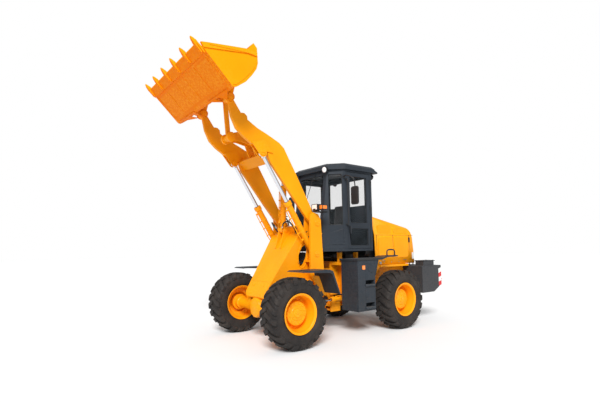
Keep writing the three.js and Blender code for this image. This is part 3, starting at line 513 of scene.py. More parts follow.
def dress(node, material, bevel=0.004, segments=2):
    """A CAD node keeps its shape: its flat faces are joined, its edges rounded, and it gets a finish."""
    made = frame["nodes"][node]
    made.data.materials.clear()
    made.data.materials.append(material)
    if made.data.has_custom_normals:
        with bpy.context.temp_override(object=made, active_object=made):
            bpy.ops.mesh.customdata_custom_splitnormals_clear()
    made.data.shade_smooth()
    weld = made.modifiers.new("weld", "WELD")
    weld.merge_threshold = 0.00005
    join = made.modifiers.new("join_flats", "DECIMATE")
    join.decimate_type = "DISSOLVE"
    join.angle_limit = math.radians(0.6)
    round_edges(made, bevel, segments)
    return made


# ---- wheels -----------------------------------------------------------------------------------
LUGS = 21
# half of the tyre's section below the lugs, as (radius, outward)
CARCASS = ((0.551, 0.0), (0.550, 0.07), (0.546, 0.125), (0.535, 0.162), (0.515, 0.184), (0.485, 0.196),
           (0.450, 0.201), (0.410, 0.200), (0.375, 0.192), (0.352, 0.180), (0.340, 0.170), (0.330, 0.166))
LUG_HEIGHTS = (0.029, 0.030, 0.031, 0.033, 0.028, 0.012)
LAST_ROW = len(LUG_HEIGHTS) - 1


def carcass_normal(i):
    (r0, y0), (r1, y1) = CARCASS[max(i - 1, 0)], CARCASS[i + 1]
    length = math.hypot(r1 - r0, y1 - y0)
    return (y1 - y0) / length, -(r1 - r0) / length


def tyre(name, x, side):
    centre = (x, side * HALF_TRACK, TYRE_R)
    shape = Shape()
    outer = list(CARCASS) + [(0.309, 0.160)]
    inner = [(r, -y) for r, y in reversed(outer)]
    ribs = []
    for r, y in outer:
        ribs.append((r, y))
        if abs(r - 0.410) < 1e-6:
            ribs += [(0.402, 0.2035), (0.394, 0.2035), (0.388, 0.1965)]
    shape.lathe(ribs + inner[:-1], centre, side, 96)
    # a lug starts just past the middle, runs slantwise, then straight out over the shoulder
    for flank in (1, -1):
        for lug in range(LUGS):
            base = 2 * math.pi * (lug + (0.5 if flank > 0 else 0.0)) / LUGS
            rows = []
            for i, height in enumerate(LUG_HEIGHTS):
                r, y = CARCASS[i]
                along = i / LAST_ROW
                if i == 0:
                    y = -0.012
                nr, ny = carcass_normal(i)
                turn = base + 0.215 * (1 - min(1.0, along / 0.72))
                half = (0.037 + 0.013 * min(1.0, along * 1.5)) / r
                tip = 0.84 if i < LAST_ROW else 0.74
                rows.append([(r - 0.004, y, turn - half),
                             (r + nr * height, y + ny * height, turn - half * tip),
                             (r + nr * height, y + ny * height, turn + half * tip),
                             (r - 0.004, y, turn + half)])
            rings = [[(centre[0] + r * math.cos(t), centre[1] + side * flank * y, centre[2] + r * math.sin(t))
                      for r, y, t in row] for row in rows]
            shape.rings(rings)
    # short ribs that guard the rim
    for t in turns(60):
        along = Vector((math.cos(t), 0, math.sin(t)))
        for flank in (1, -1):
            out = Vector((0, side * flank, 0))
            shape.bar(Vector(centre) + along * 0.352 + out * 0.178,
                      Vector(centre) + along * 0.372 + out * 0.190, 0.0035, 6)
    return piece(f"tyre_tread_{name}", shape, TYRE, f"wheel_{name}", smooth=30, replaces=(f"tyre_{name}",))


def rim(name, x, side):
    centre = (x, side * HALF_TRACK, TYRE_R)
    shape = Shape()
    shape.lathe([(0.309, 0.150), (0.322, 0.166), (0.329, 0.176), (0.331, 0.184), (0.326, 0.190),
                 (0.314, 0.188), (0.300, 0.178), (0.291, 0.170), (0.287, 0.150), (0.283, 0.100),
                 (0.279, 0.092), (0.276, 0.020), (0.272, -0.016), (0.262, -0.028), (0.222, -0.030),
                 (0.210, -0.022), (0.204, 0.000), (0.198, 0.056), (0.193, 0.068), (0.185, 0.073),
                 (0.120, 0.075), (0.112, 0.083), (0.070, 0.085), (0.064, 0.094), (0.0, 0.095), (0.0, 0.020),
                 (0.178, 0.020), (0.188, 0.010), (0.196, -0.030), (0.204, -0.048), (0.262, -0.052),
                 (0.278, -0.058), (0.286, -0.100), (0.291, -0.150), (0.300, -0.172), (0.312, -0.178),
                 (0.326, -0.188), (0.331, -0.182), (0.328, -0.174), (0.320, -0.166), (0.309, -0.150)],
                centre, side, 96)
    out = Vector((0, side, 0))
    hub = Vector(centre)
    shape.bolt_circle(hub - out * 0.030, out, 0.241, 10, 0.014, 0.020)
    shape.bolt_circle(hub + out * 0.075, out, 0.156, 12, 0.011, 0.011)
    shape.bolt_circle(hub + out * 0.085, out, 0.090, 6, 0.007, 0.007)
    shape.bolt(hub + out * 0.095, out, 0.014, 0.012)
    shape.bar(hub + Vector((0.283, side * 0.10, 0)), hub + Vector((0.262, side * 0.155, 0)), 0.005, 10)
    return piece(f"rim_disc_{name}", shape, YELLOW, f"wheel_{name}", smooth=30, replaces=(f"rim_{name}",))


for end, axle_x in (("front", 0.0), ("rear", REAR_X)):
    for side_name, side in SIDES:
        tyre(f"{end}_{side_name}", axle_x, side)
        rim(f"{end}_{side_name}", axle_x, side)


# ---- finish of the CAD nodes that stay --------------------------------------------------------
for node in ("front_frame", "rear_frame", "bellcrank", "bucket_link", "boom"):
    dress(node, YELLOW)
dress("bucket", BUCKET)
dress("counterweight", WEIGHT, 0.014, 3)
for node in ("cab_shell", "cab_floor", "cab_door_left", "cab_door_right"):
    dress(node, SLATE, 0.006, 3)
dress("cab_roof", SLATE, 0.022, 4)
for side_name, _ in SIDES:
    dress(f"side_tank_{side_name}", SLATE, 0.006)
    dress(f"deck_{side_name}", SLATE, 0.003)
    dress(f"fender_{side_name}", SLATE, 0.004)
    dress(f"head_lamp_{side_name}", BLACK, 0.012, 3)
for node in ("engine", "transmission"):
    dress(node, IRON, 0.02, 3)


# ---- hydraulic cylinders ----------------------------------------------------------------------
def eye(shape, centre, cross, radius, half):
    centre, cross = Vector(centre), Vector(cross)
    chamfer = 0.006
    profile = [(0, radius - chamfer), (chamfer, radius), (2 * half - chamfer, radius),
               (2 * half, radius - chamfer)]
    shape.turned(profile, centre - cross * half, centre + cross * half)


def cylinder(name, base, end, barrel_r, rod_r, gland, eye_r, half, bodies, lean, cross=(0, 1, 0), stand=0.034,
             first_port=0.0):
    """Barrel with its gland, ports, pipe and clamps, and the rod.

    lean points from the barrel to its pipe, stand is the room between the two, and first_port is the lower
    port's distance from the base (0 puts it just past the eye).
    """
    base, end = Vector(base), Vector(end)
    along = (end - base).normalized()
    length = (end - base).length
    lean = Vector(lean)
    lean = (lean - along * lean.dot(along)).normalized()

    def at(distance, out=0.0):
        return base + along * distance + lean * out

    barrel = Shape()
    foot = eye_r + 0.02
    barrel.turned([(eye_r * 0.5, barrel_r * 0.8), (foot, barrel_r * 0.84), (foot + 0.02, barrel_r),
                   (gland - 0.085, barrel_r), (gland - 0.08, barrel_r + 0.005),
                   (gland - 0.072, barrel_r + 0.014), (gland - 0.006, barrel_r + 0.014),
                   (gland, barrel_r + 0.008)], base, end, 40)
    eye(barrel, base, cross, eye_r, half)
    barrel.ring(at(foot), along, barrel_r * 0.84, 0.008)
    barrel.bolt_circle(at(gland), along, barrel_r - 0.004, 8, 0.006, 0.007)
    out = barrel_r + stand
    first_port = first_port or foot + 0.07
    for port in (first_port, gland - 0.13):
        barrel.bar(at(port, barrel_r - 0.012), at(port, out + 0.004), 0.017, 16)
        barrel.bar(at(port, out - 0.014), at(port, out + 0.008), 0.022, 6)
    proud = stand * 0.35
    run_end = first_port + 0.08
    barrel.tube([at(gland - 0.13, out), at(gland - 0.17, out + proud), at(gland - 0.24, out + proud),
                 at((gland + run_end) / 2, out + proud), at(run_end + 0.09, out + proud),
                 at(run_end + 0.03, out + proud), at(first_port, out)], 0.0085)
    for share in (0.12, 0.48, 0.84):
        clamp = run_end + (gland - 0.24 - run_end) * share
        barrel.collar(at(clamp), along, barrel_r - 0.002, barrel_r + 0.0035, 0.026)
        barrel.bar(at(clamp + 0.013, barrel_r), at(clamp + 0.013, out + stand * 0.7), 0.011, 12)
        barrel.bolt(at(clamp + 0.013, out + stand * 0.7), lean, 0.007, 0.006)
    barrel_body, rod_body = bodies
    piece(f"{name}_barrel_body", barrel, YELLOW, barrel_body, replaces=(barrel_body,))
    piece(f"{name}_wiper_seal", Shape().ring(at(gland + 0.003), along, rod_r + 0.005, 0.005), BLACK,
          barrel_body)

    rod = Shape()
    rod.bar(at(gland * 0.84), at(length - eye_r * 0.5), rod_r, 40)
    rod.turned([(0, rod_r), (0.012, rod_r + 0.010), (0.05, rod_r + 0.012)], at(length - eye_r - 0.03), end,
               40)
    eye(rod, end, cross, eye_r, half)
    piece(f"{name}_rod_body", rod, CHROME, rod_body, replaces=(rod_body,))


STEER_Z = JOINTS["steering_barrel_turn_left"]["pos_m"][2]
for side_name, side in SIDES:
    y = side * ARM_Y
    cylinder(f"lift_{side_name}", (LIFT_PIN[0], y, LIFT_PIN[1]), (LIFT_EYE[0], y, LIFT_EYE[1]), 0.057, 0.033,
             1.12, 0.062, 0.031, (f"lift_barrel_{side_name}", f"lift_rod_{side_name}"), (1, 0, -0.6),
             first_port=0.36)
    cylinder(f"steer_{side_name}", (-1.95, side * 0.36, STEER_Z), (-1.01, side * 0.38, STEER_Z), 0.040, 0.020,
             0.61, 0.042, 0.036, (f"steering_barrel_{side_name}", f"steering_rod_{side_name}"),
             (0, 0.01, 1), (0, 0, 1), stand=0.012)
cylinder("tilt", (TILT_PIN[0], 0, TILT_PIN[1]), (TILT_EYE[0], 0, TILT_EYE[1]), 0.060, 0.036, 0.85, 0.058,
         0.048, ("tilt_barrel", "tilt_rod"), (1, 0.15, 0))


# ---- pins -------------------------------------------------------------------------------------
def pin(name, centre, low, high, radius, head, thick, body, node=None):
    """Pin along Y with a chamfered head, a keeper bolt and a grease nipple at each end."""
    x, z = centre
    shape = Shape().bar((x, low, z), (x, high, z), radius)
    for place, out in ((low, -1), (high, 1)):
        inner, outer = place - out * thick, place + out * thick
        shape.turned([(0, head), (2 * thick - 0.003, head), (2 * thick, head - 0.003)], (x, inner, z),
                     (x, outer, z))
        for offset in (head * 0.58, -head * 0.58):
            shape.bolt((x + offset, outer, z), (0, out, 0), 0.009, 0.008)
        shape.turned([(0, 0.008), (0.006, 0.006), (0.012, 0.007), (0.016, 0.004)], (x, outer, z),
                     (x, outer + out, z), 12)
    piece(name, shape, YELLOW, body, replaces=(node,) if node else ())


pin("crank_pin", CRANK_PIN, -0.136, 0.136, 0.035, 0.056, 0.006, "bellcrank_pin", "bellcrank_pin")
pin("crank_nose_pin", LINK_PIN, -0.108, 0.108, 0.032, 0.088, 0.018, "link_pin", "link_pin")
pin("tilt_foot_pin", TILT_PIN, -0.100, 0.100, 0.030, 0.046, 0.006, "tilt_base_pin", "tilt_base_pin")
pin("link_top_pin", LINK_TOP, -0.096, 0.096, 0.032, 0.050, 0.005, "bucket")
pin("tilt_eye_pin", TILT_EYE, -0.094, 0.094, 0.034, 0.048, 0.005, "bellcrank")
for side_name, side in SIDES:
    low, high = spread_sides(side, 0.41, 0.59)
    pin(f"bucket_hinge_pin_{side_name}", BUCKET_PIN, low, high, 0.040, 0.056, 0.006, "bucket_pins",
        f"bucket_pin_{side_name}")
    low, high = spread_sides(side, 0.392, 0.612)
    pin(f"boom_foot_pin_{side_name}", BOOM_PIN, low, high, 0.045, 0.062, 0.005, "front")
    pin(f"lift_foot_pin_{side_name}", LIFT_PIN, low, high, 0.035, 0.052, 0.005, "front")
    low, high = spread_sides(side, 0.445, 0.555)
    pin(f"lift_eye_pin_{side_name}", LIFT_EYE, low, high, 0.030, 0.050, 0.004, "boom")


# ---- axles and drive line ---------------------------------------------------------------------
def axle(end, x, towards, shaft_to, body):
    """Beam with hubs and brake drums, differential housing and the stub towards the gearbox."""
    z, tip = TYRE_R, HALF_TRACK + 0.008
    half = [(0, 0.142), (0.004, 0.150), (0.084, 0.150), (0.090, 0.144), (0.092, 0.118), (0.188, 0.118),
            (0.198, 0.104), (0.30, 0.090), (0.52, 0.092), (0.66, 0.112), (0.74, 0.165), (0.80, 0.198),
            (0.88, 0.205)]
    shape = Shape().turned(half + [(2 * tip - along, r) for along, r in reversed(half)], (x, -tip, z),
                           (x, tip, z), 48)
    nose = Vector((x, 0, z))
    way = Vector((towards, 0, 0))
    shape.turned([(0, 0.175), (0.10, 0.165), (0.20, 0.125), (0.30, 0.098), (0.325, 0.098), (0.33, 0.070)],
                 nose, nose + way, 40)
    shape.turned([(0, 0.19), (0.16, 0.178), (0.185, 0.160), (0.196, 0.110), (0.198, 0.02)], nose, nose - way,
                 40)
    shape.bolt_circle(nose - way * 0.172, -way, 0.166, 12, 0.010, 0.010)
    shape.bolt_circle(nose + way * 0.325, way, 0.084, 8, 0.008, 0.010)
    for s in (1, -1):
        shape.box((x - 0.09, x + 0.09), sorted((s * 0.30, s * 0.39)), (z, 0.715))
        for dx in (-0.06, 0.06):
            shape.bolt((x + dx, s * 0.345, 0.645), (0, s, 0), 0.014, 0.010)
            shape.bar((x + dx, s * 0.40, 0.50), (x + dx, s * 0.40, 0.70), 0.011, 12)
        shape.bolt_circle((x, s * (tip - 0.190), z), (0, -s, 0), 0.103, 10, 0.008, 0.008)
        shape.tube([(x - 0.05, s * 0.30, z + 0.10), (x - 0.055, s * 0.50, z + 0.095),
                    (x - 0.09, s * 0.68, z + 0.10), (x - 0.10, s * 0.75, z + 0.12)], 0.006)
    piece(f"{end}_axle_beam", shape, YELLOW, body, bevel=0.002, replaces=(f"{end}_axle",))
    shaft = Shape().bar(nose + way * 0.33, (shaft_to, 0, z), 0.032, 24)
    shaft.turned([(0, 0.075), (0.03, 0.075), (0.035, 0.05), (0.09, 0.045)], nose + way * 0.33, nose + way, 24)
    piece(f"{end}_drive_shaft", shaft, IRON, body)
    flange = Vector((shaft_to, 0, z))
    yoke = Shape().turned([(0, 0.05), (0.05, 0.055), (0.055, 0.075), (0.075, 0.075)], flange - way * 0.07,
                          flange + way, 24)
    yoke.bolt_circle(flange - way * 0.02, -way, 0.060, 4, 0.008, 0.010)
    piece(f"{end}_shaft_yoke", yoke, IRON, body)


axle("front", 0.0, -1, -1.21, "front")
axle("rear", REAR_X, 1, -1.99, "rear")


# ---- hood -------------------------------------------------------------------------------------
HOOD_FRONT = -2.49
HOOD_LOW = 1.256
HOOD_SEAM = 1.89
# roofline and back edge, from the cab rearwards and down, as (x, z)
HOOD_LINE = [(HOOD_FRONT, 2.310), (-2.56, 2.294), (-3.07, 2.188), (-3.60, 2.077)] + [
    (-3.60 - 0.205 * math.sin(t), 1.86 + 0.213 * math.cos(t)) for t in (0.25, 0.5, 0.75, 1.0, 1.25, 1.45)] + [
    (-3.815, 1.82), (-3.838, 1.56), (-3.85, HOOD_LOW)]


def hood_half(z):
    """Half width of the hood at a height: the sides lean in slightly, and more above the seam."""
    return 0.54 - 0.0315 * (z - HOOD_LOW) if z < HOOD_SEAM else 0.520 - 0.226 * (z - HOOD_SEAM)


def hood_shell():
    shape = Shape()
    mesh = shape.mesh
    sides = []
    for side in (1, -1):
        top = [mesh.verts.new((x, side * hood_half(z), z)) for x, z in HOOD_LINE]
        foot = mesh.verts.new((HOOD_FRONT, side * hood_half(HOOD_LOW), HOOD_LOW))
        waist = mesh.verts.new((HOOD_FRONT, side * hood_half(HOOD_SEAM), HOOD_SEAM))
        seam = min(range(len(HOOD_LINE)),
                   key=lambda i: abs(HOOD_LINE[i][1] - HOOD_SEAM) + (HOOD_LINE[i][0] > -3.7))
        mesh.faces.new([waist, *top[:seam + 1]])
        mesh.faces.new([foot, waist, *top[seam:]])
        sides.append(top)
    left, right = sides
    for i in range(len(left) - 1):
        mesh.faces.new([left[i], right[i], right[i + 1], left[i + 1]])
    rims = [edge for edge in mesh.edges if len(edge.link_faces) == 2
            and {edge.verts[0], edge.verts[1]} <= set(left) or {edge.verts[0], edge.verts[1]} <= set(right)]
    bmesh.ops.recalc_face_normals(mesh, faces=mesh.faces)
    bmesh.ops.bevel(mesh, geom=rims, offset=0.055, segments=6, profile=0.5, affect="EDGES")
    return shape


hood = piece("hood_skin", hood_shell(), YELLOW, "hood", replaces=("hood",), smooth=30)
if sum(face.normal.dot(face.center - Vector((FRONT_X - 3.1, 0, 1.5))) for face in hood.data.polygons) < 0:
    hood.data.flip_normals()
wall = hood.modifiers.new("wall", "SOLIDIFY")
wall.thickness = 0.022
wall.offset = -1


def raised(x0, x1, z0, z1, radius, proud, depth, side):
    """Raised panel on a side wall of the hood."""
    low, high = sorted((side * (hood_half((z0 + z1) / 2) - depth), side * (hood_half(z0) + proud)))
    return rounded((x0, z0), (x1, z1), radius), low, high


for side_name, side in SIDES:
    panels = Shape()
    for x0, x1, z0, z1 in ((-3.60, -3.12, 1.93, 2.03), (-3.04, -2.60, 1.93, 2.10), (-3.60, -3.12, 1.40, 1.84),
                           (-3.04, -2.60, 1.40, 1.84)):
        outline, low, high = raised(x0, x1, z0, z1, 0.04, 0.005, 0.012, side)
        panels.prism(outline, "y", low, high)
    piece(f"hood_panels_{side_name}", panels, YELLOW, "hood", bevel=0.004, segments=3)
    trim = Shape()
    y = side * hood_half(HOOD_SEAM)
    trim.box((-3.80, HOOD_FRONT - 0.005), sorted((y - side * 0.01, y + side * 0.0015)), (1.886, 1.892))
    for x in (-2.545, -3.085, -3.655):
        trim.box((x - 0.002, x + 0.002), sorted((side * 0.50, side * (hood_half(1.60) + 0.0015))),
                 (1.30, 1.886))
    outline, low, high = raised(-3.675, -3.628, 1.725, 1.843, 0.022, 0.012, 0.02, side)
    trim.prism(outline, "y", low, high)
    for row in range(9):
        outline, low, high = raised(-2.98, -2.66, 1.46 + row * 0.036, 1.478 + row * 0.036, 0.008, 0.0065,
                                    0.01, side)
        trim.prism(outline, "y", low, high)
    piece(f"hood_seams_{side_name}", trim, BLACK, "hood", bevel=0.0008)
    grips = Shape()
    for x in (-2.72, -3.45):
        grips.tube([(x - 0.05, side * 0.530, 1.335), (x - 0.045, side * 0.560, 1.34),
                    (x + 0.045, side * 0.560, 1.34), (x + 0.05, side * 0.530, 1.335)], 0.006)
    for x in (-2.60, -2.75, -3.0, -3.25, -3.5, -3.7):
        grips.bolt((x, side * (hood_half(1.30) - 0.001), 1.30), (0, side, 0), 0.008, 0.006)
    grips.box((-2.66, -2.60), spread_sides(side, 0.530, 0.548), (1.265, 1.32))
    piece(f"hood_latches_{side_name}", grips, ZINC, "hood", bevel=0.001)
grille = Shape()
for row in range(13):
    z = 1.44 + row * 0.028
    x = -3.838 - (1.56 - z) * 0.04 if z < 1.56 else -3.838 + (z - 1.56) * 0.088
    slat = [(x - 0.016, z - 0.006), (x + 0.02, z + 0.008), (x + 0.02, z + 0.012), (x - 0.016, z - 0.002)]
    grille.prism(slat, "y", -0.36, 0.36)
piece("hood_grille_slats", grille, BLACK, "hood")


# ---- engine bay -------------------------------------------------------------------------------
block = Shape()
block.box((-3.36, -2.70), (-0.17, 0.17), (1.755, 1.80))
for cylinder_at in range(4):
    x = -2.80 - cylinder_at * 0.155
    block.box((x - 0.06, x + 0.06), (-0.11, 0.11), (1.795, 1.85))
    block.bolt((x, 0.0, 1.85), (0, 0, 1), 0.012, 0.012)
    block.tube([(x, -0.26, 1.66), (x, -0.33, 1.67), (x - 0.04, -0.345, 1.62)], 0.026, 16)
block.bar((-2.76, -0.345, 1.62), (-3.36, -0.345, 1.62), 0.036, 20)
block.turned([(0, 0.02), (0.0, 0.10), (0.03, 0.10), (0.035, 0.06), (0.06, 0.06), (0.065, 0.10), (0.09, 0.10)],
             (-3.475, 0, 1.50), (-3.6, 0, 1.50), 32)
block.turned([(0, 0.075), (0.05, 0.075)], (-3.475, 0.17, 1.66), (-3.6, 0.17, 1.66), 24)
block.turned([(0, 0.055), (0.14, 0.055), (0.15, 0.045)], (-3.0, 0.268, 1.25), (-3.0, 0.45, 1.25), 24)
piece("engine_head", block, IRON, "rear", bevel=0.006)
cleaner = Shape().turned([(0, 0.08), (0.02, 0.11), (0.50, 0.11), (0.52, 0.10), (0.56, 0.10), (0.57, 0.05)],
                         (-2.62, 0.16, 1.93), (-3.2, 0.16, 1.93), 32)
cleaner.tube([(-3.18, 0.16, 1.93), (-3.30, 0.16, 1.93), (-3.34, 0.10, 1.88), (-3.34, 0.02, 1.84)], 0.04, 20)
cleaner.tube([(-3.44, 0.17, 1.70), (-3.50, 0.20, 1.84), (-3.60, 0.24, 1.88), (-3.66, 0.24, 1.86)], 0.024, 16)
piece("air_cleaner", cleaner, BLACK, "rear", bevel=0.002)
# the two faces of a fan blade, as (from the hub, across, forwards)
FAN_BLADE = [[(0.05, -0.02, 0.0), (0.24, -0.05, 0.0), (0.24, 0.05, 0.03), (0.05, 0.02, 0.02)],
             [(0.05, -0.02, 0.004), (0.24, -0.05, 0.004), (0.24, 0.05, 0.034), (0.05, 0.02, 0.024)]]
radiator = Shape().box((-3.72, -3.64), (-0.36, 0.36), (1.26, 1.84))
radiator.box((-3.735, -3.625), (-0.38, 0.38), (1.84, 1.88))
for fin in range(34):
    radiator.box((-3.726, -3.634), (-0.35, 0.35), (1.275 + fin * 0.0165, 1.279 + fin * 0.0165))
radiator.turned([(0, 0.27), (0.05, 0.27)], (-3.63, 0, 1.54), (-3.5, 0, 1.54), 40)
for t in turns(7):
    c, s = math.cos(t), math.sin(t)
    radiator.rings([[(-3.575 + dx, r * c - w * s, 1.54 + r * s + w * c) for r, w, dx in corners]
                    for corners in FAN_BLADE])
piece("radiator_and_fan", radiator, BLACK, "rear")


# ---- glass ------------------------------------------------------------------------------------
GLASS = see_through("window_pane", "window_glass", srgb(60, 68, 70), 0.07)
LENS = lens("lamp_lens_clear", (0.80, 0.82, 0.84, 1), "lamp_lens")
AMBER = lens("lamp_lens_amber", (0.90, 0.20, 0.01, 1), "amber_lens")
RED = lens("lamp_lens_red", (0.55, 0.01, 0.01, 1), "red_lens")
CAB_SIDE = 0.700
PANE_IN = 0.020


def cab_front(z):
    """X of the windscreen's plane at a height."""
    return -1.040 - 0.185 * (z - 1.60) / 1.56


def quarter_point(x, z, out=0.0):
    """Point on the slanted wall between door post and windscreen, moved outwards."""
    corner = Vector((cab_front(z), 0.430 + 0.025 * (z - 1.60) / 1.56))
    post = Vector((-1.45, CAB_SIDE))
    run = corner - post
    at = post + run * ((x - post.x) / run.x)
    normal = Vector((-run.y, run.x)).normalized()
    if normal.x < 0:
        normal = -normal
    return at.x + normal.x * out, at.y + normal.y * out, z


def pane(name, corners, out, body, side=1, glass=GLASS, thick=0.005, seal=0.011):
    """Flat pane through its corners, pushed inwards by its thickness, with a rubber seal round its edge."""
    out = Vector(out)
    front = [Vector((x, side * y, z)) for x, y, z in corners]
    shape = Shape().rings([front, [point - out * thick for point in front]])
    piece(name, shape, glass, body)
    rubber = Shape()
    middle = sum(front, Vector()) / len(front)
    loop = []
    for i, point in enumerate(front):
        before, after = front[i - 1], front[(i + 1) % len(front)]
        for a, b in ((point, before), (point, after)):
            loop.append(a + (b - a).normalized() * 0.03 + (middle - a).normalized() * 0.002)
    ring = []
    for i, point in enumerate(loop):
        ahead = loop[(i + 1) % len(loop)] - loop[i - 1]
        across = ahead.cross(out).normalized()
        ring.append([point + across * (seal * math.cos(t)) + out * (seal * 0.6 * math.sin(t))
                     for t in turns(8)])
    rubber.rings(ring, closed=True)
    piece(f"{name}_seal", rubber, HOSE, body)


pane("windscreen_pane", [(cab_front(z) - PANE_IN, y, z) for y, z in (
    (0.352, 2.08), (-0.352, 2.08), (-0.372, 3.07), (0.372, 3.07))], (1, 0, 0.12), "rear")
pane("rear_window_pane", [(-2.230 + PANE_IN, y, z) for y, z in (
    (0.545, 2.495), (0.545, 3.065), (-0.545, 3.065), (-0.545, 2.495))], (-1, 0, 0), "rear")
for side_name, side in SIDES:
    slant = (0.63, side * 0.776, 0.06)
    pane(f"quarter_pane_{side_name}", [quarter_point(x, z, -PANE_IN) for x, z in (
        (-1.418, 2.068), (-1.418, 3.072), (-1.222, 3.072), (-1.205, 2.068))], slant, "rear", side)
    door = f"cab_door_{side_name}"
    for part, (x0, x1, z0, z1) in (("upper", (-2.077, -1.598, 2.118, 3.042)),
                                   ("lower", (-2.107, -1.598, 1.668, 2.007))):
        pane(f"door_{part}_pane_{side_name}", [(x, CAB_SIDE - PANE_IN, z) for x, z in (
            (x0, z0), (x1, z0), (x1, z1), (x0, z1))], (0, side, 0), door, side)


# ---- cab fittings -----------------------------------------------------------------------------
def loop_on_wall(shape, corners, radius):
    """Thin closed bead along straight lines."""
    for a, b in zip(corners, corners[1:] + corners[:1]):
        shape.bar(a, b, radius, 10)
    return shape


for side_name, side in SIDES:
    wall_beads = Shape()
    marks = [quarter_point(x, z, 0.002) for x, z in ((-1.43, 1.70), (-1.14, 1.70), (-1.16, 1.90),
                                                     (-1.43, 1.99))]
    loop_on_wall(wall_beads, mirrored(side, *marks), 0.008)
    piece(f"cab_panel_bead_{side_name}", wall_beads, SLATE, "rear")

    rail = Shape()
    rail.tube(mirrored(side, (-1.49, 0.695, 2.96), (-1.485, 0.752, 2.94), (-1.485, 0.757, 2.60),
                       (-1.485, 0.757, 2.10), (-1.49, 0.695, 2.08)), 0.010, 14)
    for z in (2.96, 2.08):
        rail.bar((-1.49, side * 0.698, z), (-1.49, side * 0.705, z), 0.022, 20)
    piece(f"cab_handrail_{side_name}", rail, BLACK, "rear")

    hinges = Shape()
    for z in (1.80, 2.42, 2.95):
        hinges.bar((-2.172, side * 0.705, z - 0.055), (-2.172, side * 0.705, z + 0.055), 0.0075, 16)
        hinges.box((-2.228, -2.184), spread_sides(side, 0.699, 0.703), (z - 0.04, z + 0.04))
    piece(f"door_hinges_{side_name}", hinges, BLACK, "rear", bevel=0.001)
    lock = Shape().prism(rounded((-1.600, 1.90), (-1.560, 2.05), 0.012), "y",
                         *spread_sides(side, 0.699, 0.712))
    lock.tube(mirrored(side, (-1.58, 0.708, 2.035), (-1.58, 0.735, 2.03), (-1.58, 0.735, 1.93),
                       (-1.58, 0.708, 1.922)), 0.008)
    piece(f"door_lock_{side_name}", lock, BLACK, f"cab_door_{side_name}", bevel=0.002)
    skin = Shape().box((-2.13, -1.56), spread_sides(side, 0.698, 0.703), (2.055, 2.065))
    piece(f"door_bead_{side_name}", skin, SLATE, f"cab_door_{side_name}", bevel=0.001)

    lamp = Shape()
    head = Vector((-1.215, side * 0.47, 3.165))
    aim = Vector((1, side * 0.12, -0.16)).normalized()
    lamp.turned([(0, 0.02), (0.012, 0.045), (0.045, 0.062), (0.085, 0.066), (0.088, 0.060)], head, head + aim,
                32)
    lamp.bar(head + aim * 0.03, head + aim * 0.03 + Vector((0, 0, 0.07)), 0.010, 12)
    lamp.box((head.x + 0.01, head.x + 0.06), sorted((head.y - 0.02, head.y + 0.02)), (3.225, 3.236))
    piece(f"work_light_{side_name}", lamp, BLACK, "rear", bevel=0.001)
    glass = Shape().turned([(0, 0.058), (0.010, 0.050), (0.014, 0.030), (0.015, 0.004)], head + aim * 0.082,
                           head + aim, 32)
    piece(f"work_light_lens_{side_name}", glass, LENS, "rear")
    back = Vector((-2.40, side * 0.55, 3.12))
    aim = Vector((-1, 0, -0.2)).normalized()
    lamp = Shape().turned([(0, 0.02), (0.01, 0.04), (0.04, 0.055), (0.07, 0.058), (0.073, 0.052)],
                          back + Vector((0.06, 0, 0)), back + Vector((0.06, 0, 0)) + aim, 28)
    lamp.bar(back + Vector((0.04, 0, 0)), back + Vector((0.04, 0, 0.07)), 0.009, 12)
    piece(f"rear_light_{side_name}", lamp, BLACK, "rear")
    glass = Shape().turned([(0, 0.050), (0.008, 0.044), (0.012, 0.02)],
                           back + Vector((0.06, 0, 0)) + aim * 0.068, back + aim, 28)
    piece(f"rear_light_lens_{side_name}", glass, LENS, "rear")

roof = Shape()
for y in (-0.45, -0.15, 0.15, 0.45):
    roof.prism(rounded((-2.16, y - 0.05), (-1.40, y + 0.05), 0.03), "z", 3.283, 3.290)
for x, y in ((-2.18, 0.60), (-2.18, -0.60), (-1.50, 0.60), (-1.50, -0.60)):
    roof.bar((x, y, 3.27), (x, y, 3.296), 0.024, 20)
piece("roof_ribs", roof, SLATE, "rear", bevel=0.003)
wiper = Shape()
pivot = Vector((cab_front(3.09) + 0.012, 0.10, 3.09))
wiper.bar(pivot - Vector((0.05, 0, 0)), pivot + Vector((0.012, 0, 0)), 0.018, 20)
tip = Vector((cab_front(2.55) + 0.012, -0.12, 2.55))
wiper.tube([pivot, (pivot + tip) / 2 + Vector((0.012, 0, 0)), tip], 0.006, steps=4)
blade = Vector((0.03, 0.02, -0.28))
wiper.bar(tip - blade, tip + blade, 0.007, 8)
piece("windscreen_wiper", wiper, BLACK, "rear")


# ---- hoses ------------------------------------------------------------------------------------
def hose(name, points, radius, body, crimps=True):
    """Rubber hose with a nut and a crimped sleeve at each end; a pair of bodies leaves it in place, on
    neither.
    """
    path = [Vector(point) for point in points]
    if isinstance(body, tuple):
        shift = Vector((FRONT_X, 0, 0))
        body = (*body, tuple(path[0] + shift), tuple(path[-1] + shift))
    piece(name, Shape().tube(path, radius, 14, 8), HOSE, body)
    if crimps:
        ends = Shape()
        facets = 6 if radius < 0.01 else 12
        for tip, inner in ((path[0], path[1]), (path[-1], path[-2])):
            way = (inner - tip).normalized()
            ends.turned([(-0.012, radius * 0.8), (0.0, radius * 0.8), (0.001, radius * 1.45),
                         (0.022, radius * 1.45), (0.023, radius * 1.2), (0.055, radius * 1.25),
                         (0.057, radius)], tip, tip + way, facets)
        piece(f"{name}_ends", ends, ZINC, body)


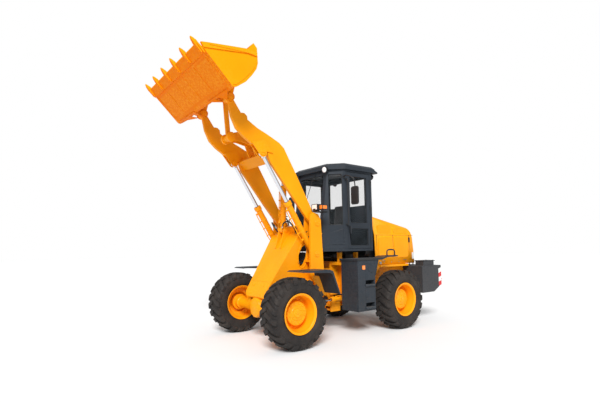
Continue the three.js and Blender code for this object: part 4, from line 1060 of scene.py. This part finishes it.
for side_name, side in SIDES:
    y = side * ARM_Y
    lift = f"lift_barrel_{side_name}"
    hose(f"lift_hose_base_{side_name}", mirrored(side, (-0.86, 0.36, 1.78), (-0.83, 0.38, 1.86),
                                                 (-0.74, 0.43, 1.84), (-0.70, 0.435, 1.76),
                                                 (-0.690, 0.438, 1.690)), 0.012, ("front", lift))
    hose(f"lift_hose_gland_{side_name}", mirrored(side, (-0.88, 0.34, 1.80), (-0.86, 0.37, 1.95),
                                                  (-0.72, 0.425, 1.95), (-0.64, 0.435, 1.88),
                                                  (-0.620, 0.438, 1.800)), 0.010, ("front", lift))
    hose(f"tilt_hose_{side_name}", mirrored(side, (-0.60, 0.25, 1.90), (-0.50, 0.30, 2.02),
                                            (-0.40, 0.27, 2.13), (-0.36, 0.17, 2.10), (-0.385, 0.09, 2.02)),
         0.014, ("front", "tilt_base_pin"))
    hose(f"tilt_hose_rear_{side_name}", mirrored(side, (-0.75, 0.18, 1.84), (-0.76, 0.20, 2.08),
                                                 (-0.68, 0.17, 2.22), (-0.58, 0.10, 2.20),
                                                 (-0.535, 0.06, 2.12)), 0.012,
         ("front", "tilt_base_pin"))
    hose(f"steer_hose_{side_name}", mirrored(side, (-1.84, 0.30, 0.84), (-1.86, 0.33, 0.78),
                                             (-1.87, 0.36, 0.72), (-1.86, 0.36, 0.69)), 0.009,
         ("rear", f"steering_barrel_{side_name}"))
for i, (y, z) in enumerate(((0.20, 1.30), (0.13, 1.34), (0.06, 1.32), (-0.06, 1.32), (-0.13, 1.34),
                            (-0.20, 1.30))):
    hose(f"cross_hose_{i}", [(-1.78, y * 0.9, z - 0.02), (-1.60, y, z + 0.10), (-1.40, y * 1.15, z + 0.16),
                             (-1.16, y, z + 0.10), (-1.00, y * 0.95, z + 0.04)], 0.013, ("rear", "front"))

valve = Shape().box((-0.86, -0.70), (-0.20, 0.20), (1.43, 1.55))
for i in range(4):
    y = -0.15 + i * 0.10
    valve.turned([(0, 0.022), (0.05, 0.022), (0.055, 0.016)], (-0.74, y, 1.545), (-0.74, y, 1.8), 16)
    valve.turned([(0, 0.02), (0.05, 0.02), (0.055, 0.012)], (-0.86, y, 1.49), (-1.1, y, 1.49), 16)
    valve.bolt((-0.82, y, 1.55), (0, 0, 1), 0.010, 0.008)
valve.box((-0.87, -0.69), (-0.30, 0.30), (1.400, 1.43))
piece("loader_valve", valve, IRON, "front", bevel=0.004)
fittings = Shape()
for side_name, side in SIDES:
    for x, z in ((-0.60, 1.90), (-0.75, 1.84)):
        y = side * (0.25 if x > -0.7 else 0.18)
        fittings.bar((x, y, z - 0.10), (x, y, z), 0.013, 12)
        fittings.bar((x, y, z - 0.03), (x, y, z), 0.019, 6)
piece("loader_valve_stems", fittings, ZINC, "front")


# ---- front frame ------------------------------------------------------------------------------
NOSE = (Vector((-0.503, 0, 1.863)), Vector((0.171, 0, 0.850)))
NOSE_OUT = Vector((0.832, 0, 0.554))


def nose_half(z):
    return 0.318 + (z - 0.850) * 0.1155


def on_nose(z, y, out=0.0):
    """Point of the sloping plate at a height."""
    t = (1.863 - z) / 1.013
    return NOSE[0].lerp(NOSE[1], t) + Vector((0, y, 0)) + NOSE_OUT * out


front_trim = Shape()
front_trim.weld([on_nose(1.04, -nose_half(1.04) + 0.01, 0.001), on_nose(1.04, nose_half(1.04) - 0.01, 0.001)],
                0.0045)
for side_name, side in SIDES:
    front_trim.weld([on_nose(z, side * (nose_half(z) - 0.003), -0.001) for z in (1.85, 0.86)], 0.0055)
    front_trim.weld(mirrored(side, (-0.602, 0.064, 1.866), (-0.530, 0.064, 1.866)), 0.006)
    front_trim.weld(mirrored(side, (-0.602, 0.092, 1.866), (-0.530, 0.092, 1.866)), 0.006)
    front_trim.weld([on_nose(1.835, side * 0.064, 0.001), on_nose(1.66, side * 0.064, 0.001)], 0.005)
    front_trim.weld([on_nose(1.835, side * 0.092, 0.001), on_nose(1.66, side * 0.092, 0.001)], 0.005)
    hole = [Vector((-0.625 + 0.104 * math.cos(t), side * (nose_half(1.490 + 0.22 * math.sin(t)) + 0.002),
                    1.490 + 0.224 * math.sin(t))) for t in turns(40)]
    for a, b in zip(hole, hole[1:] + hole[:1]):
        front_trim.bar(a, b, 0.007, 8)
    for x, z in ((-0.12, 0.74), (-0.30, 0.74), (-0.12, 0.80), (-0.30, 0.80)):
        front_trim.bolt((x, side * (nose_half(z) + 0.001), z), (0, side, 0), 0.014, 0.012)
    for z in (0.90, 1.20, 1.60, 1.90):
        front_trim.bolt((-0.925 - (1.55 - z) * 0.03, side * 0.605, z), (0, side, 0), 0.009, 0.007)
    front_trim.box((-0.79, -0.70), spread_sides(side, 0.604, 0.622), (1.125, 1.215))
    for x, z in ((-0.775, 1.14), (-0.715, 1.14), (-0.775, 1.20), (-0.715, 1.20)):
        front_trim.bolt((x, side * 0.622, z), (0, side, 0), 0.010, 0.008)
    front_trim.bar((-0.75, side * 0.62, 1.17), (-0.75, side * 0.73, 1.17), 0.022)
for y in (-0.16, 0.16):
    spot = on_nose(0.965, y, 0.002)
    front_trim.bolt(spot, NOSE_OUT, 0.016, 0.012)
piece("front_frame_welds_and_bolts", front_trim, YELLOW, "front")

HITCH_X = -1.40
hitch = Shape()
for z in (1.160, 0.440):
    for out, low in ((1, z + 0.062), (-1, z - 0.062)):
        hitch.turned([(0, 0.062), (0.010, 0.062), (0.013, 0.058)], (HITCH_X, 0, low), (HITCH_X, 0, low + out),
                     40)
        hitch.bolt_circle((HITCH_X, 0, low + out * 0.012), (0, 0, out), 0.042, 4, 0.009, 0.008)
    hitch.ring((HITCH_X, 0, z + 0.024), (0, 0, 1), 0.098, 0.004)
piece("hitch_pin_caps", hitch, YELLOW, "rear", bevel=0.001)


# ---- boom -------------------------------------------------------------------------------------
boom_trim = Shape()
for side_name, side in SIDES:
    for face, out in ((ARM_Y - 0.030, -1), (ARM_Y + 0.030, 1)):
        y = side * (face + out * 0.001)
        for (x, z), r in ((BUCKET_PIN, 0.080), (BOOM_PIN, 0.075)):
            round_eye = [(x + r * math.cos(t), y, z + r * math.sin(t)) for t in (*turns(32), 2 * math.pi)]
            boom_trim.weld(round_eye, 0.005)
    boom_trim.weld(mirrored(side, (0.245, 0.468, 3.296), (0.103, 0.468, 3.150)), 0.006)
    boom_trim.weld(mirrored(side, (-0.018, 0.468, 3.266), (0.120, 0.468, 3.412)), 0.006)
    for y in (0.092, 0.128):
        boom_trim.weld([(0.02, side * y, 3.315), (0.12, side * y, 3.412)], 0.0055)
piece("boom_welds", boom_trim, YELLOW, "boom")


# ---- bucket -----------------------------------------------------------------------------------
HEEL, SEAM, EDGE = Vector((1.221, 0, 4.068)), Vector((1.649, 0, 4.482)), Vector((1.766, 0, 4.590))
ALONG = (EDGE - HEEL).normalized()
UNDER = Vector((ALONG.z, 0, -ALONG.x))


def on_floor(along, y, out=0.0):
    """Point on the underside of the bucket floor, measured from the heel."""
    return HEEL + ALONG * along + UNDER * out + Vector((0, y, 0))


def floor_plate(shape, a, b, y0, y1, out, depth=0.004):
    ring = [on_floor(t, y) for t, y in ((a, y0), (b, y0), (b, y1), (a, y1))]
    return shape.rings([[point - UNDER * depth for point in ring], [point + UNDER * out for point in ring]])


FLOOR = (SEAM - HEEL).length
bucket_trim = Shape()
for y0, y1 in ((-0.98, -0.60), (-0.56, -0.18), (-0.14, 0.14), (0.18, 0.56), (0.60, 0.98)):
    floor_plate(bucket_trim, 0.10, FLOOR - 0.06, y0, y1, 0.003)
bucket_trim.weld([on_floor(FLOOR - 0.004, -1.06, 0.001), on_floor(FLOOR - 0.004, 1.06, 0.001)], 0.006)
for y in (-1.02, 1.02):
    bucket_trim.weld([on_floor(0.02, y, 0.001), on_floor(FLOOR - 0.03, y, 0.001)], 0.005)
for side_name, side in SIDES:
    rim_line = [(x, side * 1.0875, z) for x, z in (
        (1.213, 4.090), (1.158, 4.104), (1.014, 4.236), (0.909, 4.350), (0.833, 4.460), (0.802, 4.550),
        (0.800, 4.630))]
    bucket_trim.weld(rim_line, 0.0045)
    bucket_trim.weld(mirrored(side, (0.84, 1.101, 4.645), (0.96, 1.101, 4.650), (1.60, 1.101, 4.590)), 0.0045)
    x, z = BUCKET_PIN
    for y in (ARM_Y - 0.098, ARM_Y + 0.098):
        bucket_trim.ring((x, side * y, z), (0, 1, 0), 0.064, 0.005)
    bucket_trim.weld(mirrored(side, (1.27, 0.552, 4.135), (1.21, 0.552, 4.10)), 0.006)
piece("bucket_welds", bucket_trim, BUCKET, "bucket")

EDGE_AT = FLOOR + 0.005


def edge_ring(outline, y):
    """Outline of (along, down) points from the start of the blade, at one width."""
    return [HEEL + ALONG * (EDGE_AT + along) + UNDER * down + Vector((0, y, 0)) for along, down in outline]


blade = Shape()
profile = [(-0.007, 0.024), (0.155, 0.024), (0.166, 0.015), (0.150, -0.002), (0.060, -0.014),
           (-0.007, -0.014)]
blade.rings([edge_ring(profile, y) for y in (-1.063, 1.063)])
teeth = Shape()
nuts = Shape()
adapter = [(0.020, 0.024), (0.012, 0.046), (0.165, 0.050), (0.205, 0.044), (0.205, -0.014), (0.12, -0.016),
           (0.112, 0.022)]
spear = ((0.200, 0.044, -0.012, 0.022), (0.235, 0.040, -0.004, 0.020), (0.262, 0.030, 0.006, 0.016),
         (0.279, 0.022, 0.012, 0.010))
for i in range(6):
    y = (i - 2.5) * 0.408
    teeth.rings([edge_ring(adapter, y + dy) for dy in (-0.026, 0.026)])
    rings = []
    for along, low, top, half in spear:
        rings.append([edge_ring([(along, down)], y + dy)[0] for down, dy in (
            (low, -half), (low, half), (top, half), (top, -half))])
    teeth.rings(rings)
    for along in (0.05, 0.11):
        nuts.bolt(edge_ring([(along, 0.047)], y)[0], UNDER, 0.011, 0.011)
        nuts.bolt(edge_ring([(along, -0.013)], y)[0], -UNDER, 0.011, 0.009)
piece("cutting_edge_blade", blade, BUCKET, "bucket", bevel=0.002, replaces=("cutting_edge",))
piece("tooth_adapters", teeth, BUCKET, "bucket", bevel=0.004)
piece("tooth_bolts", nuts, BUCKET, "bucket", bevel=0.001)

# aprons that run from the heel down to each pair of pin lugs
for side_name, side in SIDES:
    x, z = BUCKET_PIN
    root, foot = Vector((1.235, 0, 4.066)), Vector((x + 0.052, 0, z - 0.050))
    lift = Vector((0.012, 0, -0.012))
    notch = foot.lerp(root, 0.85)
    span = ((root, 0.28), (root, 0.96), (foot, 0.585), (foot, 0.568), (notch, 0.568), (notch, 0.432),
            (foot, 0.432), (foot, 0.415))
    ring = [Vector((point.x, side * y, point.z)) for point, y in span]
    apron = Shape().rings([ring, [point + lift for point in ring]])
    piece(f"pin_lug_apron_{side_name}", apron, BUCKET, "bucket", bevel=0.002)


# ---- mirrors and head lamps -------------------------------------------------------------------
GLASSY = plain("mirror_silver", "mirror_glass", (0.78, 0.80, 0.82, 1), 0.06, 1.0, grain=4.0, depth=0.02,
               vary=0.04)
for side_name, side in SIDES:
    arm = Shape().tube(mirrored(side, (-1.440, 0.708, 3.010), (-1.400, 0.800, 3.020), (-1.410, 0.950, 2.960),
                                (-1.440, 0.985, 2.840), (-1.440, 0.985, 2.620)), 0.011, 16)
    arm.bar((-1.44, side * 0.700, 3.01), (-1.44, side * 0.712, 3.01), 0.030, 20)
    arm.bar((-1.44, side * 0.985, 2.600), (-1.44, side * 0.985, 2.66), 0.017, 16)
    shell = rounded((0.892, 2.442), (1.078, 2.788), 0.045, 6)
    inset = rounded((0.905, 2.455), (1.065, 2.775), 0.035, 6)
    arm.rings([[(x, side * y, z) for y, z in ring] for x, ring in (
        (-1.421, inset), (-1.426, shell), (-1.448, shell), (-1.459, inset))])
    piece(f"mirror_shell_{side_name}", arm, BLACK, "rear", replaces=(f"mirror_{side_name}",))
    face = rounded((0.908, 2.458), (1.062, 2.772), 0.032, 6)
    piece(f"mirror_face_{side_name}", Shape().prism([(side * y, z) for y, z in face], "x", -1.4602, -1.4585),
          GLASSY, "rear")

    lamp = Shape().prism([(side * y, z) for y, z in rounded((0.547, 2.337), (0.688, 2.433), 0.016)], "x",
                         -0.752, -0.741)
    piece(f"head_lamp_lens_{side_name}", lamp, LENS, "front", bevel=0.004)
    blinker = Shape().prism([(side * y, z) for y, z in rounded((0.700, 2.346), (0.765, 2.416), 0.010)], "x",
                            -0.806, -0.794)
    blinker.prism(rounded((-0.915, 2.350), (-0.815, 2.412), 0.010), "y",
                  *spread_sides(side, 0.764, 0.774))
    piece(f"turn_signal_lens_{side_name}", blinker, AMBER, "front", bevel=0.003)
    cage = Shape()
    for z in (2.334, 2.436):
        cage.box((-0.750, -0.738), spread_sides(side, 0.540, 0.695), (z - 0.004, z + 0.004))
    for y in (0.5425, 0.6925):
        cage.box((-0.750, -0.738), spread_sides(side, y - 0.004, y + 0.004), (2.334, 2.436))
    for x in (-0.96, -0.90):
        cage.bolt((x, side * 0.66, 2.310), (0, 0, 1), 0.010)
    piece(f"head_lamp_frame_{side_name}", cage, BLACK, "front", bevel=0.001)


# ---- side tanks, steps and decks --------------------------------------------------------------
TREAD = tread_plate("tread_plate", "cab_grey", srgb(84, 88, 94))
for side_name, side in SIDES:
    skin = Shape()
    skin.turned([(0, 0.088), (0.006, 0.090), (0.010, 0.084), (0.012, 0.060)], (-1.815, side * 0.998, 1.235),
                (-1.815, side * 1.2, 1.235), 40)
    skin.bolt_circle((-1.815, side * 1.008, 1.235), (0, side, 0), 0.072, 6, 0.007, 0.006)
    skin.box((-1.700, -1.696), spread_sides(side, 0.99, 1.003), (1.02, 1.37))
    skin.box((-1.648, -1.644), spread_sides(side, 0.99, 1.003), (0.46, 1.37))
    for x, z in ((-1.47, 0.47), (-1.47, 0.90), (-1.47, 1.35), (-1.62, 0.47), (-1.62, 1.35), (-1.90, 0.62),
                 (-1.90, 0.80), (-1.93, 1.32), (-1.66, 0.70), (-1.72, 1.34)):
        skin.bolt((x, side * 1.0, z), (0, side, 0), 0.009, 0.007)
    skin.turned([(0, 0.040), (0.022, 0.040), (0.026, 0.034)], (-1.48, side * 0.70, 1.385),
                (-1.48, side * 0.70, 2), 24)
    skin.weld(mirrored(side, (-1.925, 1.001, 1.09), (-2.028, 1.001, 1.375)), 0.004)
    skin.weld(mirrored(side, (-1.441, 1.001, 0.445), (-1.441, 1.001, 1.375)), 0.004)
    for z in (0.845, 0.430):
        skin.box((-1.905, -1.635), spread_sides(side, 0.995, 1.006), (z + 0.04, z + 0.052))
    piece(f"tank_fittings_{side_name}", skin, SLATE, "rear", bevel=0.0015)
    marker = Shape().prism(rounded((-1.640, 1.215), (-1.565, 1.292), 0.010), "y",
                           *spread_sides(side, 0.998, 1.010))
    piece(f"side_marker_{side_name}", marker, AMBER, "rear", bevel=0.003)
    plates = Shape()
    for z in (0.925, 0.505):
        plates.box((-1.898, -1.642), spread_sides(side, 0.872, 1.024), (z, z + 0.003))
    deck = [(-1.430, side * 0.72), (-1.430, side * 1.005), (-2.130, side * 1.005), (-2.130, side * 0.72)]
    plates.prism(deck, "z", 1.4195, 1.4235)
    piece(f"deck_tread_{side_name}", plates, TREAD, "rear")
    rails = Shape()
    rails.tube(mirrored(side, (-2.310, 0.985, 1.455), (-2.310, 0.985, 1.535), (-2.345, 0.985, 1.572),
                        (-2.510, 0.985, 1.572), (-2.545, 0.985, 1.535), (-2.545, 0.985, 1.460)),
               0.0125, 16)
    for x in (-2.310, -2.545):
        rails.bar((x, side * 0.985, 1.452), (x, side * 0.985, 1.472), 0.022, 20)
    rails.box((-2.135, -1.425), spread_sides(side, 1.004, 1.012), (1.386, 1.426))
    piece(f"deck_rail_{side_name}", rails, BLACK, "rear", bevel=0.001)


# ---- counterweight ----------------------------------------------------------------------------
WHITE = paint("stripe_white", "stripe_white", srgb(222, 222, 220), rough=0.3, dust=0.12, coat=0.3)
CRIMSON = paint("stripe_red", "stripe_red", srgb(200, 22, 26), rough=0.3, dust=0.12, coat=0.3)
for side_name, side in SIDES:
    for color_name, color, first in (("white", WHITE, 0), ("red", CRIMSON, 1)):
        bands = Shape()
        for i in range(first, 4, 2):
            top, low = 1.15 - i * 0.098, 1.15 - (i + 1) * 0.098
            bands.prism([(-4.300, top), (-4.195, top - 0.03), (-4.195, low - 0.03), (-4.300, low)], "y",
                        *spread_sides(side, 0.895, 0.9025))
        for i in range(first, 4, 2):
            y0 = 0.48 + i * 0.098
            bands.prism([(side * y0, 0.80), (side * (y0 + 0.098), 0.80), (side * (y0 + 0.138), 0.90),
                         (side * (y0 + 0.04), 0.90)], "x", -4.3105, -4.300)
        piece(f"counterweight_{color_name}_stripes_{side_name}", bands, color, "rear")
    reflector = Shape().prism(rounded((-3.805, 1.352), (-3.735, 1.498), 0.006), "y",
                              *sorted((side * 0.52, side * (hood_half(1.36) + 0.004))))
    piece(f"hood_reflector_{side_name}", reflector, WHITE, "hood", bevel=0.001)
    caps = Shape()
    caps.box((-4.115, -3.690), spread_sides(side, 0.630, 0.870), (1.300, 1.318))
    for x, y in ((-4.08, 0.66), (-4.08, 0.84), (-3.72, 0.66), (-3.72, 0.84)):
        caps.bolt((x, side * y, 1.318), (0, 0, 1), 0.009, 0.006)
    caps.box((-4.100, -4.090), spread_sides(side, 0.650, 0.850), (1.215, 1.300))
    piece(f"tail_lamp_lid_{side_name}", caps, WEIGHT, "rear", bevel=0.003)
    for color_name, color, y0, y1 in (("red", RED, 0.66, 0.75), ("amber", AMBER, 0.755, 0.84)):
        tail = Shape().prism([(side * y, z) for y, z in rounded((y0, 1.225), (y1, 1.292), 0.010)], "x",
                             -4.108, -4.095)
        piece(f"tail_lamp_{color_name}_{side_name}", tail, color, "rear", bevel=0.003)
weight_trim = Shape()
for y in (-0.35, 0.35):
    weight_trim.tube([(-3.95, y - 0.05, 1.20), (-3.95, y - 0.05, 1.235), (-3.95, y - 0.03, 1.255),
                      (-3.95, y + 0.03, 1.255), (-3.95, y + 0.05, 1.235), (-3.95, y + 0.05, 1.20)], 0.012, 14,
                     4)
for y in (-0.22, 0.22):
    weight_trim.box((-4.330, -4.305), (y - 0.012, y + 0.012), (0.86, 1.04))
weight_trim.box((-4.316, -4.305), (-0.26, 0.26), (0.82, 1.08))
weight_trim.bar((-4.322, 0, 0.84), (-4.322, 0, 1.08), 0.018)
for y in (-0.23, 0.23):
    for z in (0.85, 1.05):
        weight_trim.bolt((-4.316, y * 0.8, z), (-1, 0, 0), 0.014, 0.010)
piece("counterweight_fittings", weight_trim, WEIGHT, "rear", bevel=0.003)


# ---- cab inside -------------------------------------------------------------------------------
CLOTH = weave("seat_weave", "seat_cloth", srgb(38, 38, 41), srgb(62, 62, 66))
VINYL = plain("seat_vinyl", "seat_cloth", srgb(30, 30, 32), 0.5, grain=260.0, depth=0.35)


def cushion(name, outline, y0, y1, most):
    """Upholstered pad, inflated by a short cloth simulation; no point moves further than most."""
    shape = Shape().prism(outline, "y", y0, y1)
    made = piece(name, shape, CLOTH, "rear")
    remesh = made.modifiers.new("remesh", "REMESH")
    remesh.mode = "VOXEL"
    remesh.voxel_size = 0.009
    settle(made)
    before = [vert.co.copy() for vert in made.data.vertices]
    cloth = made.modifiers.new("cloth", "CLOTH")
    cloth.settings.use_pressure = True
    cloth.settings.uniform_pressure_force = 4.0
    cloth.settings.effector_weights.gravity = 0.0
    scene = bpy.context.scene
    for number in range(1, 21):
        scene.frame_set(number)
    settle(made)
    scene.frame_set(1)
    for vert, start in zip(made.data.vertices, before):
        move = vert.co - start
        if move.length > most:
            vert.co = start + move.normalized() * most
    made.modifiers.new("soften", "SUBSURF").levels = 1
    made.modifiers["soften"].render_levels = 1
    made.data.shade_smooth()
    return made


def settle(made):
    """Applies the modifiers of a piece to its mesh."""
    result = bpy.data.meshes.new_from_object(made.evaluated_get(bpy.context.evaluated_depsgraph_get()))
    made.modifiers.clear()
    result.materials.clear()
    result.materials.append(CLOTH)
    made.data = result


cushion("seat_cushion", rounded((-2.045, 1.915), (-1.655, 2.010), 0.035), -0.215, 0.215, 0.012)
back_low, back_high = Vector((-2.005, 0, 1.995)), Vector((-2.078, 0, 2.545))
lean = (back_high - back_low).normalized()
flat_way = Vector((lean.z, 0, -lean.x))
back_outline = [(point.x, point.z) for point in (
    back_low + lean * a + flat_way * b for a, b in rounded((0.0, -0.036), (0.55, 0.036), 0.030))]
cushion("seat_back", back_outline, -0.205, 0.205, 0.010)
welts = Shape()
for y in (-0.206, 0.206):
    welts.tube([(-2.03, y, 2.004), (-1.85, y, 2.012), (-1.68, y, 2.004), (-1.662, y, 1.975)], 0.004, 8)
    welts.tube([back_low + lean * a + flat_way * 0.034 + Vector((0, y * 0.96, 0))
                for a in (0.03, 0.2, 0.4, 0.52)], 0.004, 8)
piece("seat_welts", welts, VINYL, "rear", replaces=("seat",))
base = Shape().box((-2.06, -1.66), (-0.20, 0.20), (1.885, 1.918))
base.box((-2.00, -1.72), (-0.17, 0.17), (1.62, 1.885))
for z in (1.66, 1.70, 1.74, 1.78, 1.82, 1.86):
    base.box((-2.012, -1.708), (-0.182, 0.182), (z, z + 0.018))
for y in (-0.24, 0.24):
    base.prism(rounded((-2.02, 2.125), (-1.76, 2.165), 0.018), "y", *sorted((y, y + math.copysign(0.05, y))))
    base.bar((-2.03, y * 0.9, 2.14), (-2.03, y * 1.05, 2.14), 0.018)
piece("seat_base", base, VINYL, "rear", bevel=0.005)
controls = Shape()
for y in (-0.36, -0.42):
    controls.tube([(-1.78, y, 1.95), (-1.76, y, 2.10), (-1.755, y, 2.20)], 0.008, 12, 4)
    controls.turned([(0, 0.012), (0.02, 0.022), (0.05, 0.024), (0.07, 0.014), (0.074, 0.004)],
                    (-1.755, y, 2.19), (-1.75, y, 2.4), 20)
controls.prism(rounded((-1.98, 1.62), (-1.66, 1.955), 0.03), "y", -0.47, -0.30)
for y in (-0.14, 0.02, 0.16):
    controls.rings([[(-1.40, y - 0.035, 1.72), (-1.40, y + 0.035, 1.72), (-1.412, y + 0.035, 1.726),
                     (-1.412, y - 0.035, 1.726)],
                    [(-1.46, y - 0.035, 1.64), (-1.46, y + 0.035, 1.64), (-1.47, y + 0.035, 1.648),
                     (-1.47, y - 0.035, 1.648)]])
    controls.bar((-1.36, y, 1.78), (-1.41, y, 1.70), 0.008)
controls.prism([(-1.345, 1.98), (-1.345, 2.020), (-1.29, 2.055), (-1.18, 2.055), (-1.18, 1.98)], "y", -0.28,
               0.28)
piece("cab_controls", controls, BLACK, "rear", bevel=0.003)
gauges = Shape()
for y in (-0.20, -0.12, 0.12, 0.20):
    gauges.turned([(0, 0.032), (0.006, 0.032), (0.007, 0.027), (0.008, 0.004)], (-1.315, y, 2.037),
                  (-1.40, y, 2.17), 24)
piece("gauges", gauges, GLASSY, "rear")
mat = Shape().prism(rounded((-2.15, -0.50), (-1.36, 0.50), 0.05), "z", 1.609, 1.616)
piece("floor_mat", mat, HOSE, "rear")

hub = Vector((-1.397, 0, 2.142))
column = Vector((-0.09, 0, 0.150)).normalized()
steering = Shape().ring(hub, column, 0.186, 0.014, 56, 14)
steering.turned([(-0.035, 0.030), (-0.01, 0.045), (0.004, 0.050), (0.012, 0.044), (0.016, 0.01)],
                hub - column * 0.004, hub + column, 32)
across = Vector((0, 1, 0)).cross(column).normalized()
for t in (math.radians(90), math.radians(210), math.radians(330)):
    out = Vector((0, 1, 0)) * math.cos(t) + across * math.sin(t)
    steering.tube([hub + out * 0.03 - column * 0.008, hub + out * 0.10 - column * 0.012, hub + out * 0.178],
                  0.010, 10, 4)
piece("steering_wheel_rim", steering, BLACK, "steering_wheel", replaces=("steering_wheel",))


# ---- under the cab and along the rear frame ---------------------------------------------------
mounts = Shape()
for side_name, side in SIDES:
    for x, z in ((-1.50, 1.565), (-1.95, 1.565)):
        mounts.turned([(0, 0.052), (0.008, 0.056), (0.018, 0.044), (0.027, 0.056), (0.035, 0.052)],
                      (x, side * 0.47, z - 0.03), (x, side * 0.47, z + 1), 28)
        mounts.bolt((x, side * 0.47, z - 0.072), (0, 0, -1), 0.014)
piece("cab_mounts", mounts, HOSE, "rear")
under_cab = Shape()
under_cab.turned([(0, 0.06), (0.02, 0.085), (0.60, 0.085), (0.62, 0.06)], (-1.60, -0.31, 1.47),
                 (-1.60, 1, 1.47), 32)
under_cab.box((-1.98, -1.76), (-0.36, 0.36), (1.30, 1.50))
under_cab.box((-2.20, -2.02), (-0.30, -0.06), (1.34, 1.52))
for y in (-0.22, 0.22):
    under_cab.box((-1.70, -1.50), (y - 0.015, y + 0.015), (1.37, 1.40))
    under_cab.turned([(0, 0.03), (0.03, 0.03), (0.04, 0.02)], (-1.87, y, 1.495), (-1.87, y, 2), 20)
wall = Shape().prism(rounded((-0.42, 1.45), (0.42, 2.26), 0.06), "x", -2.475, -2.315)
for i in range(9):
    wall.box((-2.482, -2.470), (-0.36, 0.36), (1.60 + i * 0.06, 1.63 + i * 0.06))
piece("engine_bay_wall", wall, BLACK, "rear", bevel=0.008)
piece("under_cab_box", under_cab, BLACK, "rear", bevel=0.006)
rear_trim = Shape()
for side_name, side in SIDES:
    for x in (-3.45, -3.20, -2.95, -2.70, -2.30, -2.10, -1.90, -1.74):
        for z in (0.97, 1.19):
            rear_trim.bolt((x, side * 0.385, z), (0, side, 0), 0.012, 0.009)
    for x in (REAR_X - 0.06, REAR_X + 0.06):
        for y in (0.318, 0.372):
            rear_trim.bolt((x, side * y, 0.722), (0, 0, -1), 0.010, 0.008)
    rear_trim.weld(mirrored(side, (-1.672, 0.386, 0.94), (-1.672, 0.386, 1.23)), 0.006)
    rear_trim.weld(mirrored(side, (-1.532, 0.222, 1.345), (-1.532, 0.222, 0.38)), 0.005)
piece("rear_frame_bolts", rear_trim, YELLOW, "rear")
box_trim = Shape()
box_trim.turned([(0, 0.19), (0.04, 0.19), (0.06, 0.17), (0.062, 0.10)], (-1.765, 0, 0.96), (-1.5, 0, 0.96),
                40)
box_trim.bolt_circle((-1.712, 0, 0.96), (1, 0, 0), 0.178, 12, 0.010, 0.009)
box_trim.turned([(0, 0.06), (0.03, 0.06), (0.035, 0.045), (0.13, 0.045), (0.135, 0.035)],
                (-2.05, 0.195, 1.02), (-2.05, 0.5, 1.02), 28)
box_trim.turned([(0, 0.055), (0.02, 0.058), (0.16, 0.058), (0.17, 0.04)], (-2.24, -0.195, 1.08),
                (-2.24, -0.5, 1.08), 28)
for x in (-1.85, -1.98, -2.11, -2.24):
    for side in (1, -1):
        box_trim.bolt((x, side * 0.20, 0.74), (0, side, 0), 0.011, 0.009)
        box_trim.bolt((x, side * 0.20, 1.16), (0, side, 0), 0.011, 0.009)
        box_trim.box((x - 0.006, x + 0.006), spread_sides(side, 0.195, 0.215), (0.78, 1.12))
piece("gearbox_fittings", box_trim, IRON, "rear", bevel=0.002)
for i, side in ((0, 1), (1, -1)):
    hose(f"gearbox_hose_{i}", mirrored(side, (-2.20, 0.20, 0.90), (-2.30, 0.27, 0.86), (-2.60, 0.29, 0.98),
                                       (-3.00, 0.29, 1.02), (-3.45, 0.26, 1.22), (-3.60, 0.26, 1.30)), 0.014,
         "rear")
    hose(f"cab_hose_{i}", mirrored(side, (-1.70, 0.12, 1.36), (-1.74, 0.13, 1.45), (-1.72, 0.15, 1.55),
                                   (-1.66, 0.16, 1.60)), 0.013, "rear")
    hose(f"engine_hose_{i}", mirrored(side, (-2.62, 0.25, 1.40), (-2.45, 0.30, 1.30), (-2.25, 0.32, 1.22),
                                      (-1.95, 0.30, 1.26), (-1.76, 0.22, 1.34)), 0.016, "rear")


# ---- stage ------------------------------------------------------------------------------------
def flat(name, color, rough):
    made = Nodes(name, "")
    made.link(made.mix(made.spread(made.noise(0.6, 3.0), 0.3, 0.7), color,
                       tuple(c * 0.985 for c in color[:3]) + (1,)),
              "Base Color")
    made.set(Roughness=rough)
    return made.material


def make_stage():
    """Pale floor, even sky that the camera sees as white, and one broad sun."""
    mesh = bpy.data.meshes.new("floor")
    reach = 60.0
    mesh.from_pydata([(-reach, -reach, 0), (reach, -reach, 0), (reach, reach, 0), (-reach, reach, 0)], [],
                     [(0, 1, 2, 3)])
    floor = bpy.data.objects.new("floor", mesh)
    bpy.context.collection.objects.link(floor)
    mesh.materials.append(flat("floor_paint", (0.90, 0.90, 0.90, 1), 0.9))

    world = bpy.data.worlds.new("world")
    bpy.context.scene.world = world
    world.use_nodes = True
    tree = world.node_tree
    background = tree.nodes["Background"]
    background.inputs["Color"].default_value = (1, 1, 1, 1)
    background.inputs["Strength"].default_value = 0.5
    pale = tree.nodes.new("ShaderNodeBackground")
    pale.inputs["Color"].default_value = (1, 1, 1, 1)
    rays = tree.nodes.new("ShaderNodeLightPath")
    mixed = tree.nodes.new("ShaderNodeMixShader")
    tree.links.new(rays.outputs["Is Camera Ray"], mixed.inputs[0])
    tree.links.new(background.outputs[0], mixed.inputs[1])
    tree.links.new(pale.outputs[0], mixed.inputs[2])
    tree.links.new(mixed.outputs[0], tree.nodes["World Output"].inputs[0])

    data = bpy.data.lights.new("key", "SUN")
    data.energy = 3.6
    data.angle = math.radians(22)
    lamp = bpy.data.objects.new("key", data)
    lamp.rotation_euler = Vector((-0.52, -0.60, -0.62)).to_track_quat("-Z", "Y").to_euler()
    bpy.context.collection.objects.link(lamp)
    bpy.context.scene.view_settings.view_transform = "Standard"


make_stage()
